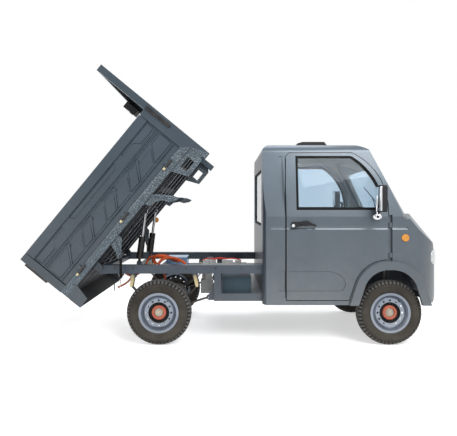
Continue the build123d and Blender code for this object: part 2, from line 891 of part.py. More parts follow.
# Load bed frame: side rails, posts, rear sill, gussets and fender legs
post_inner_y = bed_half_width - post_width
rear_sill_width = 46
gusset_sheet = 6
leg_sheet = 6
leg_inner_y = rail_outer_y + ear_gap + ear_thickness
leg_outer_y = bed_half_width - ear_gap
fender_legs = (
    # root x, root z, tip x, tip z
    (-406, 690, -323, 575),
    (-857, 690, -931, 568),
)
gusset_rear_x = -127
gusset_foot_rear_x = -65
gusset_foot_front_x = 100
gusset_foot_z = 542
gusset_side_foot_z = 570
gusset_window_low = (-45, 585)
gusset_window_high = (55, 648)
gate_hinges_x = (-1220, -655, -94)
hinge_y = bed_half_width + gate_hinge_out
with BuildPart() as bed_frame:
    for name, side in sides:
        y_low, y_high = mirrored(bed_rail_inner_y, bed_half_width, side)
        block(
            (bed_rear_x + bed_wall, y_low, bed_rail_bottom_z),
            (headboard_rear_x, y_high, bed_rail_top_z),
        )
        block(
            (bed_rear_x, y_low, bed_rail_top_z), (rear_post_front_x, y_high, gate_top_z)
        )
        block((gate_front_x, y_low, bed_rail_top_z), (headboard_rear_x, y_high, gate_top_z))
        y_low, y_high = mirrored(post_inner_y, bed_half_width, side)
        block(
            (headboard_rear_x, y_low, headboard_foot_z), (bed_front_x, y_high, headboard_top_z)
        )
        y_low, y_high = mirrored(
            bed_half_width - gusset_sheet * 2, bed_half_width - gusset_sheet, side
        )
        side_plate(
            [
                (gusset_rear_x, bed_rail_bottom_z),
                (headboard_rear_x, bed_rail_bottom_z),
                (headboard_rear_x, gusset_side_foot_z),
                (gusset_foot_front_x, gusset_foot_z),
                (gusset_foot_rear_x, gusset_foot_z),
            ],
            y_low,
            y_high,
        )
        block(
            (gusset_window_low[0], y_low, gusset_window_low[1]),
            (gusset_window_high[0], y_high, gusset_window_high[1]),
            Mode.SUBTRACT,
        )
        y_low, y_high = mirrored(bed_rail_inner_y, gate_inner_y - shut_gap, side)
        block(
            (rear_post_front_x, y_low, bed_rail_top_z),
            (gate_front_x, y_high, bed_rail_top_z + post_lip),
        )
        for x_low in (rear_post_front_x, gate_front_x - post_lip):
            block((x_low, y_low, bed_rail_top_z), (x_low + post_lip, y_high, gate_top_z))
        y_low, y_high = mirrored(leg_inner_y, leg_outer_y, side)
        for root_x, root_z, tip_x, tip_z in fender_legs:
            side_plate(
                [
                    (root_x, root_z),
                    (root_x + leg_sheet, root_z),
                    (tip_x + leg_sheet, tip_z),
                    (tip_x, tip_z),
                ],
                y_low,
                y_high,
            )
        for x in gate_hinges_x:
            for end in (-1, 1):
                x_low, x_high = sorted(
                    (
                        x + end * (gate_hinge_length / 6 + seat_gap),
                        x + end * gate_hinge_length / 2,
                    )
                )
                y_low, y_high = mirrored(bed_half_width - bed_wall, hinge_y, side)
                block(
                    (x_low, y_low, gate_hinge_z - gate_hinge_radius / 2),
                    (x_high, y_high, gate_hinge_z + gate_hinge_radius / 2),
                )
                rod(
                    (x_low, side * hinge_y, gate_hinge_z),
                    (x_high, side * hinge_y, gate_hinge_z),
                    gate_hinge_radius - seat_gap,
                )
    block(
        (bed_rear_x + bed_wall, -bed_rail_inner_y, bed_rail_bottom_z + shut_gap),
        (bed_rear_x + rear_sill_width, bed_rail_inner_y, bed_rail_top_z - sheet),
    )
save(bed_frame, "bed_frame", tipped)
# Headboard sheet, rear skirt, tail lamps, mud flaps, work lamp and latches
headboard_rail = 46
with BuildPart() as headboard:
    block(
        (bed_front_x - bed_wall * 2, -post_inner_y, bed_rail_bottom_z),
        (bed_front_x - bed_wall, post_inner_y, headboard_top_z - headboard_rail),
    )
    block(
        (headboard_rear_x, -post_inner_y, headboard_top_z - headboard_rail),
        (bed_front_x, post_inner_y, headboard_top_z),
    )
    block(
        (headboard_rear_x + seat_gap, -post_inner_y, bed_rail_bottom_z),
        (bed_front_x, post_inner_y, bed_rail_top_z),
    )
    for y in floor_ribs_y:
        block(
            (bed_front_x - headboard_rail / 2, y - floor_rib_width / 2, bed_rail_top_z),
            (bed_front_x, y + floor_rib_width / 2, headboard_top_z - headboard_rail),
        )
save(headboard, "headboard", tipped)

skirt_low_x = bed_rear_x + bed_wall
with BuildPart() as rear_skirt:
    block(
        (skirt_low_x, -bed_half_width, skirt_foot_z),
        (skirt_low_x + bed_wall, bed_half_width, bed_rail_bottom_z),
    )
    for name, side in sides:
        side_plate(
            [
                (skirt_low_x, skirt_foot_z),
                (skirt_low_x, bed_rail_bottom_z),
                (skirt_low_x + skirt_top_length, bed_rail_bottom_z),
                (skirt_low_x + skirt_foot_length, skirt_foot_z),
            ],
            *mirrored(bed_half_width - gusset_sheet, bed_half_width, side),
        )
save(rear_skirt, "rear_skirt", tipped)

lamp_width = 160
lamp_height = 75
lamp_z = 585
with BuildPart() as tail_lamps:
    for name, side in sides:
        y_low, y_high = mirrored(
            bed_half_width - lamp_width - shut_gap, bed_half_width - shut_gap, side
        )
        block(
            (bed_rear_x, y_low, lamp_z),
            (skirt_low_x - seat_gap / 3, y_high, lamp_z + lamp_height),
        )
save(tail_lamps, "tail_lamps", tipped)

flap_length = 200
flap_thickness = 5
tip_x, tip_z = fender_legs[1][2], fender_legs[1][3]
tip_point = tipped * Location((tip_x, 0, tip_z))
flap_x = tip_point.position.X - seat_gap
flap_top_z = tip_point.position.Z
with BuildPart() as mud_flaps:
    for name, side in sides:
        y_low, y_high = mirrored(leg_inner_y, leg_outer_y, side)
        block(
            (flap_x - flap_thickness, y_low, flap_top_z - flap_length),
            (flap_x, y_high, flap_top_z),
        )
save(mud_flaps, "mud_flaps")

work_lamp_size = (68, 120, 150)
work_lamp_y = 470
with BuildPart() as work_lamp:
    block(
        (
            headboard_rear_x - work_lamp_size[0],
            work_lamp_y - work_lamp_size[1] / 2,
            headboard_top_z - work_lamp_size[2] - shut_gap,
        ),
        (
            headboard_rear_x - seat_gap,
            work_lamp_y + work_lamp_size[1] / 2,
            headboard_top_z - shut_gap,
        ),
    )
save(work_lamp, "work_lamp", tipped)

latch_width = 26
latch_out = 16
front_latch_x = 140
front_latch_z = (925, 1180)
rear_latch_z = (894, 1125)
with BuildPart() as gate_latches:
    for name, side in sides:
        y_low, y_high = mirrored(bed_half_width + seat_gap, bed_half_width + latch_out, side)
        block(
            (front_latch_x, y_low, front_latch_z[0]),
            (front_latch_x + latch_width, y_high, front_latch_z[1]),
        )
        y_low, y_high = mirrored(bed_half_width - latch_width, bed_half_width, side)
        block(
            (bed_rear_x - latch_out, y_low, rear_latch_z[0]),
            (bed_rear_x - seat_gap, y_high, rear_latch_z[1]),
        )
save(gate_latches, "gate_latches", tipped)

# Drop-down side gates with pressed panels, and the tailgate
gate_low_z = bed_rail_top_z + post_gap
gate_rear_x = rear_post_front_x + post_gap
gate_end_x = gate_front_x - post_gap
leaf_gap = 0.5
leaf_near = bed_half_width + leaf_gap
pressing_depth = 12
pressing_slope = 40
panel_rise = 9
low_panel_rise = 5
bead_rise = 8
top_band_z = 1101
panel_foot_z = 826
panel_top_z = 954
low_panel_top_z = 932
panel_lean = 112
panel_half_gap = 6
rib_foot_half = 6
rib_top_half = 14
gate_margin = 9
gate_face_y = bed_half_width - pressing_depth
gate_beads = (
    # low z, high z
    (800, 814),
    (966, 984),
    (990, 1008),
)
gate_panels = (
    # front divider's top x, rear divider's top x, top z, rise
    (-61, -242, low_panel_top_z, low_panel_rise),
    (-242, -366, panel_top_z, panel_rise),
    (-366, -539, low_panel_top_z, low_panel_rise),
    (-539, -676, panel_top_z, panel_rise),
    (-676, -845, low_panel_top_z, low_panel_rise),
    (-845, -964, panel_top_z, panel_rise),
    (-964, -1133, low_panel_top_z, low_panel_rise),
)
first_panel_x = gate_panels[0][0]
last_panel_x = gate_panels[-1][1]
gate_ribs_x = tuple(row[0] for row in gate_panels if row[2] == panel_top_z) + (last_panel_x,)
upper_plates = (
    # corners in x and z
    ((60, 1093), (60, 1020), (-110, 1020), (-150, 1072), (-284, 1072), (-284, 1093)),
    ((-372, 1093), (-404, 1050), (-934, 1050), (-966, 1093)),
    ((-1398, 1093), (-1398, 1020), (-1228, 1020), (-1188, 1072), (-1054, 1072), (-1054, 1093)),
)


def pressing(points, height):
    """Adds a raised panel with sloping sides to the outside of the right side gate."""
    with BuildSketch(Plane.XZ.offset(gate_face_y)) as outline:
        with BuildLine():
            Polyline(*points, close=True)
        make_face()
    extrude(outline.sketch, amount=height, taper=pressing_slope)


def leaning_x(x, z):
    """Where a divider that starts at x in the panels' top line is at height z."""
    return x - panel_lean * (panel_top_z - z) / (panel_top_z - panel_foot_z)


with BuildPart() as right_gate:
    block(
        (gate_rear_x, -gate_face_y, gate_low_z), (gate_end_x, -gate_inner_y, gate_top_z)
    )
    block(
        (gate_rear_x, -bed_half_width, top_band_z),
        (gate_end_x, -gate_face_y, gate_top_z),
    )
    for z_low, z_high in gate_beads:
        pressing(
            [
                (gate_rear_x + gate_margin, z_low),
                (gate_end_x - gate_margin, z_low),
                (gate_end_x - gate_margin, z_high),
                (gate_rear_x + gate_margin, z_high),
            ],
            bead_rise,
        )
    pressing(
        [
            (gate_end_x - gate_margin, panel_foot_z),
            (gate_end_x - gate_margin, panel_top_z),
            (first_panel_x + panel_half_gap, panel_top_z),
            (leaning_x(first_panel_x, panel_foot_z) + panel_half_gap, panel_foot_z),
        ],
        panel_rise,
    )
    for front_x, rear_x, top_z, rise in gate_panels:
        pressing(
            [
                (leaning_x(front_x, panel_foot_z) - panel_half_gap, panel_foot_z),
                (leaning_x(front_x, top_z) - panel_half_gap, top_z),
                (leaning_x(rear_x, top_z) + panel_half_gap, top_z),
                (leaning_x(rear_x, panel_foot_z) + panel_half_gap, panel_foot_z),
            ],
            rise,
        )
    pressing(
        [
            (leaning_x(last_panel_x, panel_foot_z) - panel_half_gap, panel_foot_z),
            (last_panel_x - panel_half_gap, panel_top_z),
            (gate_rear_x + gate_margin, panel_top_z),
            (gate_rear_x + gate_margin, panel_foot_z),
        ],
        panel_rise,
    )
    for x in gate_ribs_x:
        side_plate(
            [
                (leaning_x(x, panel_foot_z) - rib_foot_half, panel_foot_z),
                (leaning_x(x, panel_foot_z) + rib_foot_half, panel_foot_z),
                (x + rib_top_half, panel_top_z),
                (x - rib_top_half, panel_top_z),
            ],
            -bed_half_width,
            -gate_face_y,
        )
    for points in upper_plates:
        pressing(points, panel_rise)
    for x in gate_hinges_x:
        x_low, x_high = x - gate_hinge_length / 6, x + gate_hinge_length / 6
        leaf_top_z = gate_low_z + gate_hinge_drop
        block((x_low, -hinge_y, gate_hinge_z), (x_high, -leaf_near, leaf_top_z))
        block((x_low, -hinge_y, gate_low_z), (x_high, -gate_face_y, leaf_top_z))
        rod(
            (x_low, -hinge_y, gate_hinge_z),
            (x_high, -hinge_y, gate_hinge_z),
            gate_hinge_radius - leaf_gap,
        )
for name, side in sides:
    with BuildPart() as side_gate:
        add(right_gate.part if side < 0 else mirror(right_gate.part, about=Plane.XZ))
    save(side_gate, f"side_gate_{name}", tipped)

tail_hinge_x = bed_rear_x + bed_wall - gate_hinge_out
tail_hinges_y = (-400, 0, 400)
with BuildPart() as tailgate:
    block(
        (bed_rear_x + bed_wall, -bed_rail_inner_y + post_gap, gate_low_z),
        (bed_rear_x + bed_wall + gate_thickness, bed_rail_inner_y - post_gap, gate_top_z),
    )
    for y in tail_hinges_y:
        y_low, y_high = y - gate_hinge_length / 6, y + gate_hinge_length / 6
        block(
            (tail_hinge_x, y_low, gate_hinge_z),
            (bed_rear_x + bed_wall - leaf_gap, y_high, gate_low_z + gate_hinge_drop),
        )
        block(
            (tail_hinge_x, y_low, gate_low_z),
            (bed_rear_x + bed_wall * 2, y_high, gate_low_z + gate_hinge_drop),
        )
        rod(
            (tail_hinge_x, y_low, gate_hinge_z),
            (tail_hinge_x, y_high, gate_hinge_z),
            gate_hinge_radius - leaf_gap,
        )
save(tailgate, "tailgate", tipped)

# Cab outlines, each drawn at an inset from the outer skin
foot_z = sill_z - cab_wall * 4
form_reach = cab_half_width + overrun
skin_rear_x = 221
windscreen_foot = (1520, 1101)
windscreen_head = (1284, 1530)
hood_top = (1548, 1073)
hood_brow = (1692, 900)
nose_top = (1730, 745)
nose_foot = (1712, sill_z)
nose_low = (1622, foot_z)
cab_side_lines = (
    # start, end, each x and z
    ((skin_rear_x, foot_z), (skin_rear_x, 1570)),
    (windscreen_head, windscreen_foot),
    (windscreen_foot, hood_top),
    (hood_brow, nose_top),
    (nose_foot, nose_low),
    (nose_low, (skin_rear_x, foot_z)),
)
cab_side_arcs = (
    # start, middle, end, each x and z
    ((skin_rear_x, 1570), (258, 1674), (345, 1706)),
    ((345, 1706), (620, 1724), (900, 1712)),
    ((900, 1712), (1130, 1659), windscreen_head),
    (hood_top, (1624, 1000), hood_brow),
    (nose_top, (nose_x, 555), nose_foot),
)
side_crease_z = 1080
roof_edge = (513, 1686)
roof_crown_z = 1726
roof_edge_radius = 88
plan_half_width = 620
plan_rear_corner = ((236, 540), (254, 590), (306, plan_half_width))
plan_front_corner = ((1400, plan_half_width), (1628, 556), (1744, 430))
plan_nose_x = 1797
screen_bow = (
    # out, y in order along the bow
    (-60, 505),
    (-92, 578),
    (-150, 640),
)
hood_bow = (
    (0, 430),
    (-26, 500),
    (-85, 620),
)
screen_bow_middle = -1
hood_bow_middle = 30
hood_overlap = 70
bow_depth = 400
screen_bow_length = 700
hood_bow_length = 420
screen_run = Vector(
    windscreen_head[0] - windscreen_foot[0], 0, windscreen_head[1] - windscreen_foot[1]
).normalized()
hood_run = Vector(hood_brow[0] - hood_top[0], 0, hood_brow[1] - hood_top[1]).normalized()


def cab_side_outline(inset):
    """The cab seen from its side."""
    with BuildSketch(Plane.XZ) as outline:
        with BuildLine():
            for start, end in cab_side_lines:
                Line(start, end)
            for start, middle, end in cab_side_arcs:
                ThreePointArc(start, middle, end)
        make_face()
        if inset:
            offset(amount=-inset, kind=Kind.INTERSECTION)
    return outline.sketch


def cab_front_outline(inset):
    """The cab seen from its front."""
    edge_y, edge_z = roof_edge
    with BuildSketch(Plane.YZ) as outline:
        with BuildLine():
            Line((-cab_half_width, foot_z), (cab_half_width, foot_z))
            for end in (-1, 1):
                Polyline(
                    (end * cab_half_width, foot_z),
                    (end * cab_half_width, side_crease_z),
                    (end * edge_y, edge_z),
                )
            ThreePointArc((-edge_y, edge_z), (0, roof_crown_z), (edge_y, edge_z))
        make_face()
        fillet(outline.vertices().group_by(Axis.Y)[-1], roof_edge_radius)
        if inset:
            offset(amount=-inset, kind=Kind.INTERSECTION)
    return outline.sketch


def cab_plan_outline(inset):
    """The cab seen from above."""
    rear_x, rear_y = plan_rear_corner[0]
    front_x, front_y = plan_front_corner[-1]
    with BuildSketch(Plane.XY) as outline:
        with BuildLine():
            Line((rear_x, -rear_y), (rear_x, rear_y))
            for end in (-1, 1):
                ThreePointArc(*[(x, end * y) for x, y in plan_rear_corner])
                Line(
                    (plan_rear_corner[-1][0], end * plan_half_width),
                    (plan_front_corner[0][0], end * plan_half_width),
                )
                ThreePointArc(*[(x, end * y) for x, y in plan_front_corner])
            ThreePointArc((front_x, -front_y), (plan_nose_x, 0), (front_x, front_y))
        make_face()
        if inset:
            offset(amount=-inset, kind=Kind.INTERSECTION)
    return outline.sketch


def bow_cut(start, run, bow, middle, length, inset):
    """What lies in front of a bowed surface that starts at a point and follows a run."""
    near_x, near_y = bow[0]
    far_x, far_y = bow[-1]
    out = Vector(0, 1, 0).cross(run)
    if out.X < 0:
        out = -out
    with BuildSketch(Plane(origin=start - out * inset, x_dir=out, z_dir=run)) as outline:
        with BuildLine():
            ThreePointArc((near_x, -near_y), (middle, 0), (near_x, near_y))
            for end in (-1, 1):
                ThreePointArc(*[(x, end * y) for x, y in bow])
                Line((far_x, end * far_y), (bow_depth, end * far_y))
            Line((bow_depth, -far_y), (bow_depth, far_y))
        make_face()
    return extrude(outline.sketch, amount=length)


def cab_form(inset):
    """The cab as one solid, its skin moved inwards by the inset."""
    foot = Vector(windscreen_foot[0], 0, windscreen_foot[1])
    with BuildPart() as form:
        extrude(cab_side_outline(inset), amount=form_reach, both=True)
        extrude(
            cab_front_outline(inset), amount=nose_x + overrun, both=True, mode=Mode.INTERSECT
        )
        extrude(
            cab_plan_outline(inset), amount=roof_z + overrun, both=True, mode=Mode.INTERSECT
        )
        add(
            bow_cut(
                foot - screen_run * inset,
                screen_run,
                screen_bow,
                screen_bow_middle,
                screen_bow_length,
                inset,
            ),
            mode=Mode.SUBTRACT,
        )
        add(
            bow_cut(
                Vector(hood_top[0], 0, hood_top[1]) - hood_run * hood_overlap,
                hood_run,
                hood_bow,
                hood_bow_middle,
                hood_bow_length,
                inset,
            ),
            mode=Mode.SUBTRACT,
        )
    return form.part


def moved_y(outline, y):
    """A side outline moved to that Y."""
    return outline.moved(Location((0, y, 0)))


door_seam_x = 1284
door_arc = ((1000, door_top_z), (1200, 1450), (door_seam_x, 1150))
door_corner = ((door_rear_x, 1590), (461, door_top_z))
arch_gap = 8
arch_foot_z = 200
arch_sides = (((905, arch_foot_z), (1010, 521)), ((1566, 545), (1676, arch_foot_z)))
arch_arcs = (
    ((1010, 521), (1117, 661), (1290, 709)),
    ((1290, 709), (1466, 661), (1566, 545)),
)
window_low_z = 1135
window_lines = (
    ((1254, 1150), (1254, window_low_z)),
    ((1254, window_low_z), (517, window_low_z)),
    ((517, window_low_z), (517, 1593)),
    ((517, 1593), (990, 1593)),
)
window_arc = ((990, 1593), (1166, 1421), (1254, 1150))


def arch_outline(grow):
    """The outside of the wheel arch flare."""
    with BuildSketch(Plane.XZ) as outline:
        with BuildLine():
            for start, end in arch_sides:
                Line(start, end)
            for start, middle, end in arch_arcs:
                ThreePointArc(start, middle, end)
            Line(arch_sides[1][1], arch_sides[0][0])
        make_face()
        if grow:
            offset(amount=grow, kind=Kind.INTERSECTION)
    return outline.sketch


def door_outline(grow):
    """The door opening, without the part that the wheel arch takes."""
    with BuildSketch(Plane.XZ) as outline:
        with BuildLine():
            Polyline(
                door_arc[-1],
                (door_seam_x, door_bottom_z),
                (door_rear_x, door_bottom_z),
                *door_corner,
                door_arc[0],
            )
            ThreePointArc(*door_arc)
        make_face()
        if grow:
            offset(amount=grow, kind=Kind.INTERSECTION)
        add(arch_outline(arch_gap - grow), mode=Mode.SUBTRACT)
    return outline.sketch


def door_window():
    """The window opening in the door."""
    with BuildSketch(Plane.XZ) as outline:
        with BuildLine():
            for start, end in window_lines:
                Line(start, end)
            ThreePointArc(*window_arc)
        make_face()
    return outline.sketch


screen_half_height = (
    hypot(windscreen_foot[0] - windscreen_head[0], windscreen_foot[1] - windscreen_head[1]) / 2
)
screen_window_corners = (
    # half width, share of the half height
    (500, -0.89),
    (438, 0.97),
)
screen_corner_radius = 45
rear_window_z = 1240
rear_window_size = (860, 500)
rear_window_radius = 50
screen_plane = Plane(
    origin=Vector(
        (windscreen_foot[0] + windscreen_head[0]) / 2,
        0,
        (windscreen_foot[1] + windscreen_head[1]) / 2,
    ),
    x_dir=(0, 1, 0),
    z_dir=(screen_run.Z, 0, -screen_run.X),
)


def screen_window():
    """The windscreen opening, square to the glass."""
    (low_half, low_share), (high_half, high_share) = screen_window_corners
    with BuildSketch(screen_plane) as outline:
        with BuildLine():
            Polyline(
                (-low_half, low_share * screen_half_height),
                (low_half, low_share * screen_half_height),
                (high_half, high_share * screen_half_height),
                (-high_half, high_share * screen_half_height),
                close=True,
            )
        make_face()
        fillet(outline.vertices(), screen_corner_radius)
    return outline.sketch


def rear_window_outline():
    """The window in the cab's rear wall."""
    with BuildSketch(Plane.YZ.offset(cab_rear_x)) as outline:
        with Locations((0, rear_window_z)):
            RectangleRounded(*rear_window_size, rear_window_radius)
    return outline.sketch


rail_hole_gap = 4
arch_lip = 40
door_inner_y = 470
rear_wrap = 20


def outline_prism(outline):
    """A side outline as two solids, one through each side of the cab."""
    with BuildPart() as prism:
        extrude(outline, amount=form_reach, both=True)
        block(
            (cab_rear_x - overrun, -door_inner_y, 0),
            (nose_x + overrun, door_inner_y, roof_z + overrun),
            Mode.SUBTRACT,
        )
    return prism.part


# Pressed shapes in the cab's sides
dent_depth = 7
dents = (
    # corners in x and z: the lower door panel, then the rear pillar
    (
        (365, 459),
        (365, 628),
        (790, 628),
        (872, 604),
        (915, 560),
        (925, 510),
        (905, 470),
        (880, 459),
    ),
    ((342, 1250), (342, 1560), (368, 1590), (406, 1590), (406, 1215), (380, 1190)),
)
crease_z = (971, 984, 1003)
crease_x = (300, 1440)
with BuildPart() as dent_prisms:
    for points in dents:
        with BuildSketch(Plane.XZ) as dent:
            with BuildLine():
                Polyline(*points, close=True)
            make_face()
        add(outline_prism(dent.sketch))
with BuildPart() as cab_dents:
    add(cab_form(-seat_gap))
    add(cab_form(dent_depth), mode=Mode.SUBTRACT)
    add(dent_prisms.part, mode=Mode.INTERSECT)
with BuildPart() as cab_creases:
    for name, side in sides:
        with BuildSketch(Plane.YZ.offset(crease_x[0])) as crease:
            with BuildLine():
                Polyline(
                    (side * (cab_half_width + seat_gap), crease_z[0]),
                    (side * (cab_half_width - dent_depth), crease_z[1]),
                    (side * (cab_half_width + seat_gap), crease_z[2]),
                    close=True,
                )
            make_face()
        extrude(crease.sketch, amount=crease_x[1] - crease_x[0])

with BuildPart() as cab_shell:
    add(cab_form(0))
    add(cab_form(cab_wall), mode=Mode.SUBTRACT)
    block(
        (cab_rear_x - overrun, -form_reach, 0),
        (nose_x + overrun, form_reach, sill_z),
        Mode.SUBTRACT,
    )
    extrude(arch_outline(-arch_lip), amount=form_reach, both=True, mode=Mode.SUBTRACT)
    extrude(screen_window(), amount=cab_wall * 4, both=True, mode=Mode.SUBTRACT)
    extrude(rear_window_outline(), amount=cab_wall * 2, both=True, mode=Mode.SUBTRACT)
    for name, side in sides:
        y_low, y_high = mirrored(
            rail_inner_y - rail_hole_gap, rail_outer_y + rail_hole_gap, side
        )
        block(
            (cab_rear_x - overrun, y_low, rail_bottom_z - rail_hole_gap),
            (cab_rear_x + cab_wall + overrun, y_high, rail_top_z + rail_hole_gap),
            Mode.SUBTRACT,
        )
    add(cab_dents.part, mode=Mode.SUBTRACT)
    add(cab_creases.part, mode=Mode.SUBTRACT)

with BuildPart() as cab_body:
    add(cab_shell.part)
    add(outline_prism(door_outline(0)), mode=Mode.SUBTRACT)

# The doors hang in a channel between the door and the nose
door_hinges_z = (780, 1030)
door_hinge_x = 1292
door_hinge_y = cab_half_width - 9
door_hinge_radius = 6
door_hinge_length = 80
door_leaf_half = 4
channel_front_x = 1312
channel_depth = 22
channel_z = (712, 1093)
hinge_root = 14
roof_seam_z = door_top_z + shut_gap
panel_rear_x = cab_rear_x + cab_wall + rear_wrap
whole_low = (cab_rear_x - overrun, -form_reach)
whole_high = (nose_x + overrun, form_reach)
with BuildPart() as cab_roof:
    add(cab_body.part)
    block((*whole_low, roof_seam_z), (*whole_high, roof_z + overrun), Mode.INTERSECT)
save(cab_roof, "cab_roof")
with BuildPart() as cab_nose:
    add(cab_body.part)
    block(
        (door_seam_x, whole_low[1], 0), (*whole_high, windscreen_foot[1]), Mode.INTERSECT
    )
    for name, side in sides:
        y_low, y_high = mirrored(cab_half_width - channel_depth, form_reach, side)
        block(
            (door_seam_x, y_low, channel_z[0]),
            (channel_front_x, y_high, channel_z[1]),
            Mode.SUBTRACT,
        )
        for z in door_hinges_z:
            y_low, y_high = mirrored(
                door_hinge_y - door_leaf_half, door_hinge_y + door_leaf_half, side
            )
            z_low = z - door_hinge_length / 2
            block(
                (door_hinge_x, y_low, z_low),
                (channel_front_x + hinge_root, y_high, z - seat_gap),
            )
            rod(
                (door_hinge_x, side * door_hinge_y, z_low),
                (door_hinge_x, side * door_hinge_y, z - seat_gap),
                door_hinge_radius,
            )
save(cab_nose, "cab_nose")
with BuildPart() as cab_rear_panel:
    add(cab_body.part)
    block((*whole_low, 0), (panel_rear_x, whole_high[1], roof_seam_z), Mode.INTERSECT)
    notch_y = rail_outer_y + seat_gap
    block(
        (cab_rear_x - overrun, -notch_y, 0),
        (panel_rear_x + overrun, notch_y, cradle_top_z + seat_gap),
        Mode.SUBTRACT,
    )
    for name, side in sides:
        y_low, y_high = mirrored(rail_inner_y - seat_gap, notch_y, side)
        block(
            (cab_rear_x - overrun, y_low, rail_bottom_z - seat_gap),
            (panel_rear_x + overrun, y_high, rail_top_z + seat_gap),
            Mode.SUBTRACT,
        )
save(cab_rear_panel, "cab_rear_panel")
with BuildPart() as cab_pillars:
    add(cab_body.part)
    block((panel_rear_x, whole_low[1], 0), (*whole_high, roof_seam_z), Mode.INTERSECT)
    block(
        (door_seam_x, whole_low[1], 0), (*whole_high, windscreen_foot[1]), Mode.SUBTRACT
    )
save(cab_pillars, "cab_pillars")

glass_inset = 12
with BuildPart() as glass_skin:
    add(cab_form(glass_inset))
    add(cab_form(glass_inset + pane_thickness), mode=Mode.SUBTRACT)
with BuildPart() as windscreen:
    add(glass_skin.part)
    extrude(screen_window(), amount=cab_wall * 4, both=True, mode=Mode.INTERSECT)
save(windscreen, "windscreen")
with BuildPart() as rear_window:
    add(glass_skin.part)
    extrude(rear_window_outline(), amount=cab_wall * 2, both=True, mode=Mode.INTERSECT)
save(rear_window, "rear_window")

door_leaf_form = outline_prism(door_outline(-shut_gap))
window_form = outline_prism(door_window())
handle_out = 20
handle_corners = (
    # x, z
    (466, 1012),
    (480, 1036),
    (600, 1040),
    (676, 1012),
    (674, 996),
    (600, 1012),
    (500, 988),
    (472, 990),
)
lock_x = 484
lock_z = 1006
lock_radius = 15
mirror_x = (1157, 1212)
mirror_y = (650, 762)
mirror_z = (1120, 1335)
mirror_edge = 16
mirror_arm_radius = 9
mirror_foot_x = 1176
mirror_foot_z = 1079
mirror_arm_top = (1184, 700, 1150)
mirror_base = (1152, 1198, 1066, 1094)
mirror_base_out = 16
for name, side in sides:
    y_low, y_high = mirrored(door_inner_y, form_reach, side)
    low, high = (cab_rear_x, y_low, 0), (nose_x, y_high, roof_z)
    with BuildPart() as door_panel:
        add(door_leaf_form)
        block(low, high, Mode.INTERSECT)
        add(cab_shell.part, mode=Mode.INTERSECT)
        add(window_form, mode=Mode.SUBTRACT)
        for z in door_hinges_z:
            z_low, z_high = z + seat_gap, z + door_hinge_length / 2
            y_low, y_high = mirrored(
                door_hinge_y - door_leaf_half, door_hinge_y + door_leaf_half, side
            )
            block(
                (door_seam_x - shut_gap - hinge_root, y_low, z_low),
                (door_hinge_x, y_high, z_high),
            )
            rod(
                (door_hinge_x, side * door_hinge_y, z_low),
                (door_hinge_x, side * door_hinge_y, z_high),
                door_hinge_radius,
            )
    save(door_panel, f"door_panel_{name}")
    with BuildPart() as door_glass:
        add(window_form)
        block(low, high, Mode.INTERSECT)
        add(cab_form(glass_inset), mode=Mode.INTERSECT)
        add(cab_form(glass_inset + pane_thickness), mode=Mode.SUBTRACT)
    save(door_glass, f"door_glass_{name}")

    with BuildPart() as door_fittings:
        near = cab_half_width + seat_gap
        side_plate(handle_corners, *mirrored(near, cab_half_width + handle_out, side))
        side_disc(lock_x, lock_z, lock_radius, *mirrored(near, cab_half_width + handle_out, side))
        y_low, y_high = mirrored(near, cab_half_width + mirror_base_out, side)
        block(
            (mirror_base[0], y_low, mirror_base[2]), (mirror_base[1], y_high, mirror_base[3])
        )
        arm_x, arm_y, arm_z = mirror_arm_top
        rod(
            (mirror_foot_x, side * (near + mirror_arm_radius), mirror_foot_z),
            (arm_x, side * arm_y, arm_z),
            mirror_arm_radius,
        )
        y_low, y_high = mirrored(*mirror_y, side)
        with BuildSketch(Plane.YZ.offset(mirror_x[0])) as head:
            with Locations(((y_low + y_high) / 2, sum(mirror_z) / 2)):
                Rectangle(y_high - y_low, mirror_z[1] - mirror_z[0])
            chamfer(head.vertices(), mirror_edge)
        extrude(head.sketch, amount=mirror_x[1] - mirror_x[0])
    save(door_fittings, f"door_fittings_{name}")

# Cab floor with wheel housings and seat base, dashboard, seat and steering wheel
housing_sheet = 4
wheel_room = 420
housing_inner_y = 314
housing_radius = 330
housing_rise = 18
floor_front_x = 1650


def housing_outline(grow):
    """The wheel housing seen from the side, with room for the steered wheel."""
    with BuildSketch(Plane.XZ) as outline:
        add(arch_outline(grow - arch_lip))
        with Locations((front_axle_x, axle_z + housing_rise)):
            Circle(housing_radius + grow)
    return outline.sketch


floor_sheet_z = cradle_top_z + seat_gap
floor_top = floor_sheet_z + bed_wall
seat_base_front_x = 700
seat_base_half = 540
seat_base_z = 705
side_room = cab_half_width - cab_wall - seat_gap
with BuildPart() as cab_floor:
    block(
        (panel_rear_x - rear_wrap + seat_gap, -side_room, floor_sheet_z),
        (floor_front_x, side_room, floor_top),
    )
    for name, side in sides:
        y_low, y_high = mirrored(housing_inner_y, side_room, side)
        extrude(
            moved_y(housing_outline(housing_sheet), y_high), amount=y_high - y_low
        )
    for name, side in sides:
        y_low, y_high = mirrored(housing_inner_y + housing_sheet, side_room + overrun, side)
        extrude(
            moved_y(housing_outline(0), y_high),
            amount=y_high - y_low,
            mode=Mode.SUBTRACT,
        )
        y_low, y_high = mirrored(housing_inner_y - overrun, side_room + overrun, side)
        block(
            (front_axle_x - wheel_room, y_low, -tyre_radius),
            (front_axle_x + wheel_room, y_high, floor_sheet_z),
            Mode.SUBTRACT,
        )
    block(
        (panel_rear_x - rear_wrap + seat_gap, -seat_base_half, floor_top),
        (seat_base_front_x, seat_base_half, seat_base_z),
    )
    block(
        (panel_rear_x - rear_wrap - overrun, bed_wall - seat_base_half, floor_top),
        (seat_base_front_x - bed_wall, seat_base_half - bed_wall, seat_base_z - bed_wall),
        Mode.SUBTRACT,
    )
    add(cab_form(cab_wall + seat_gap), mode=Mode.INTERSECT)
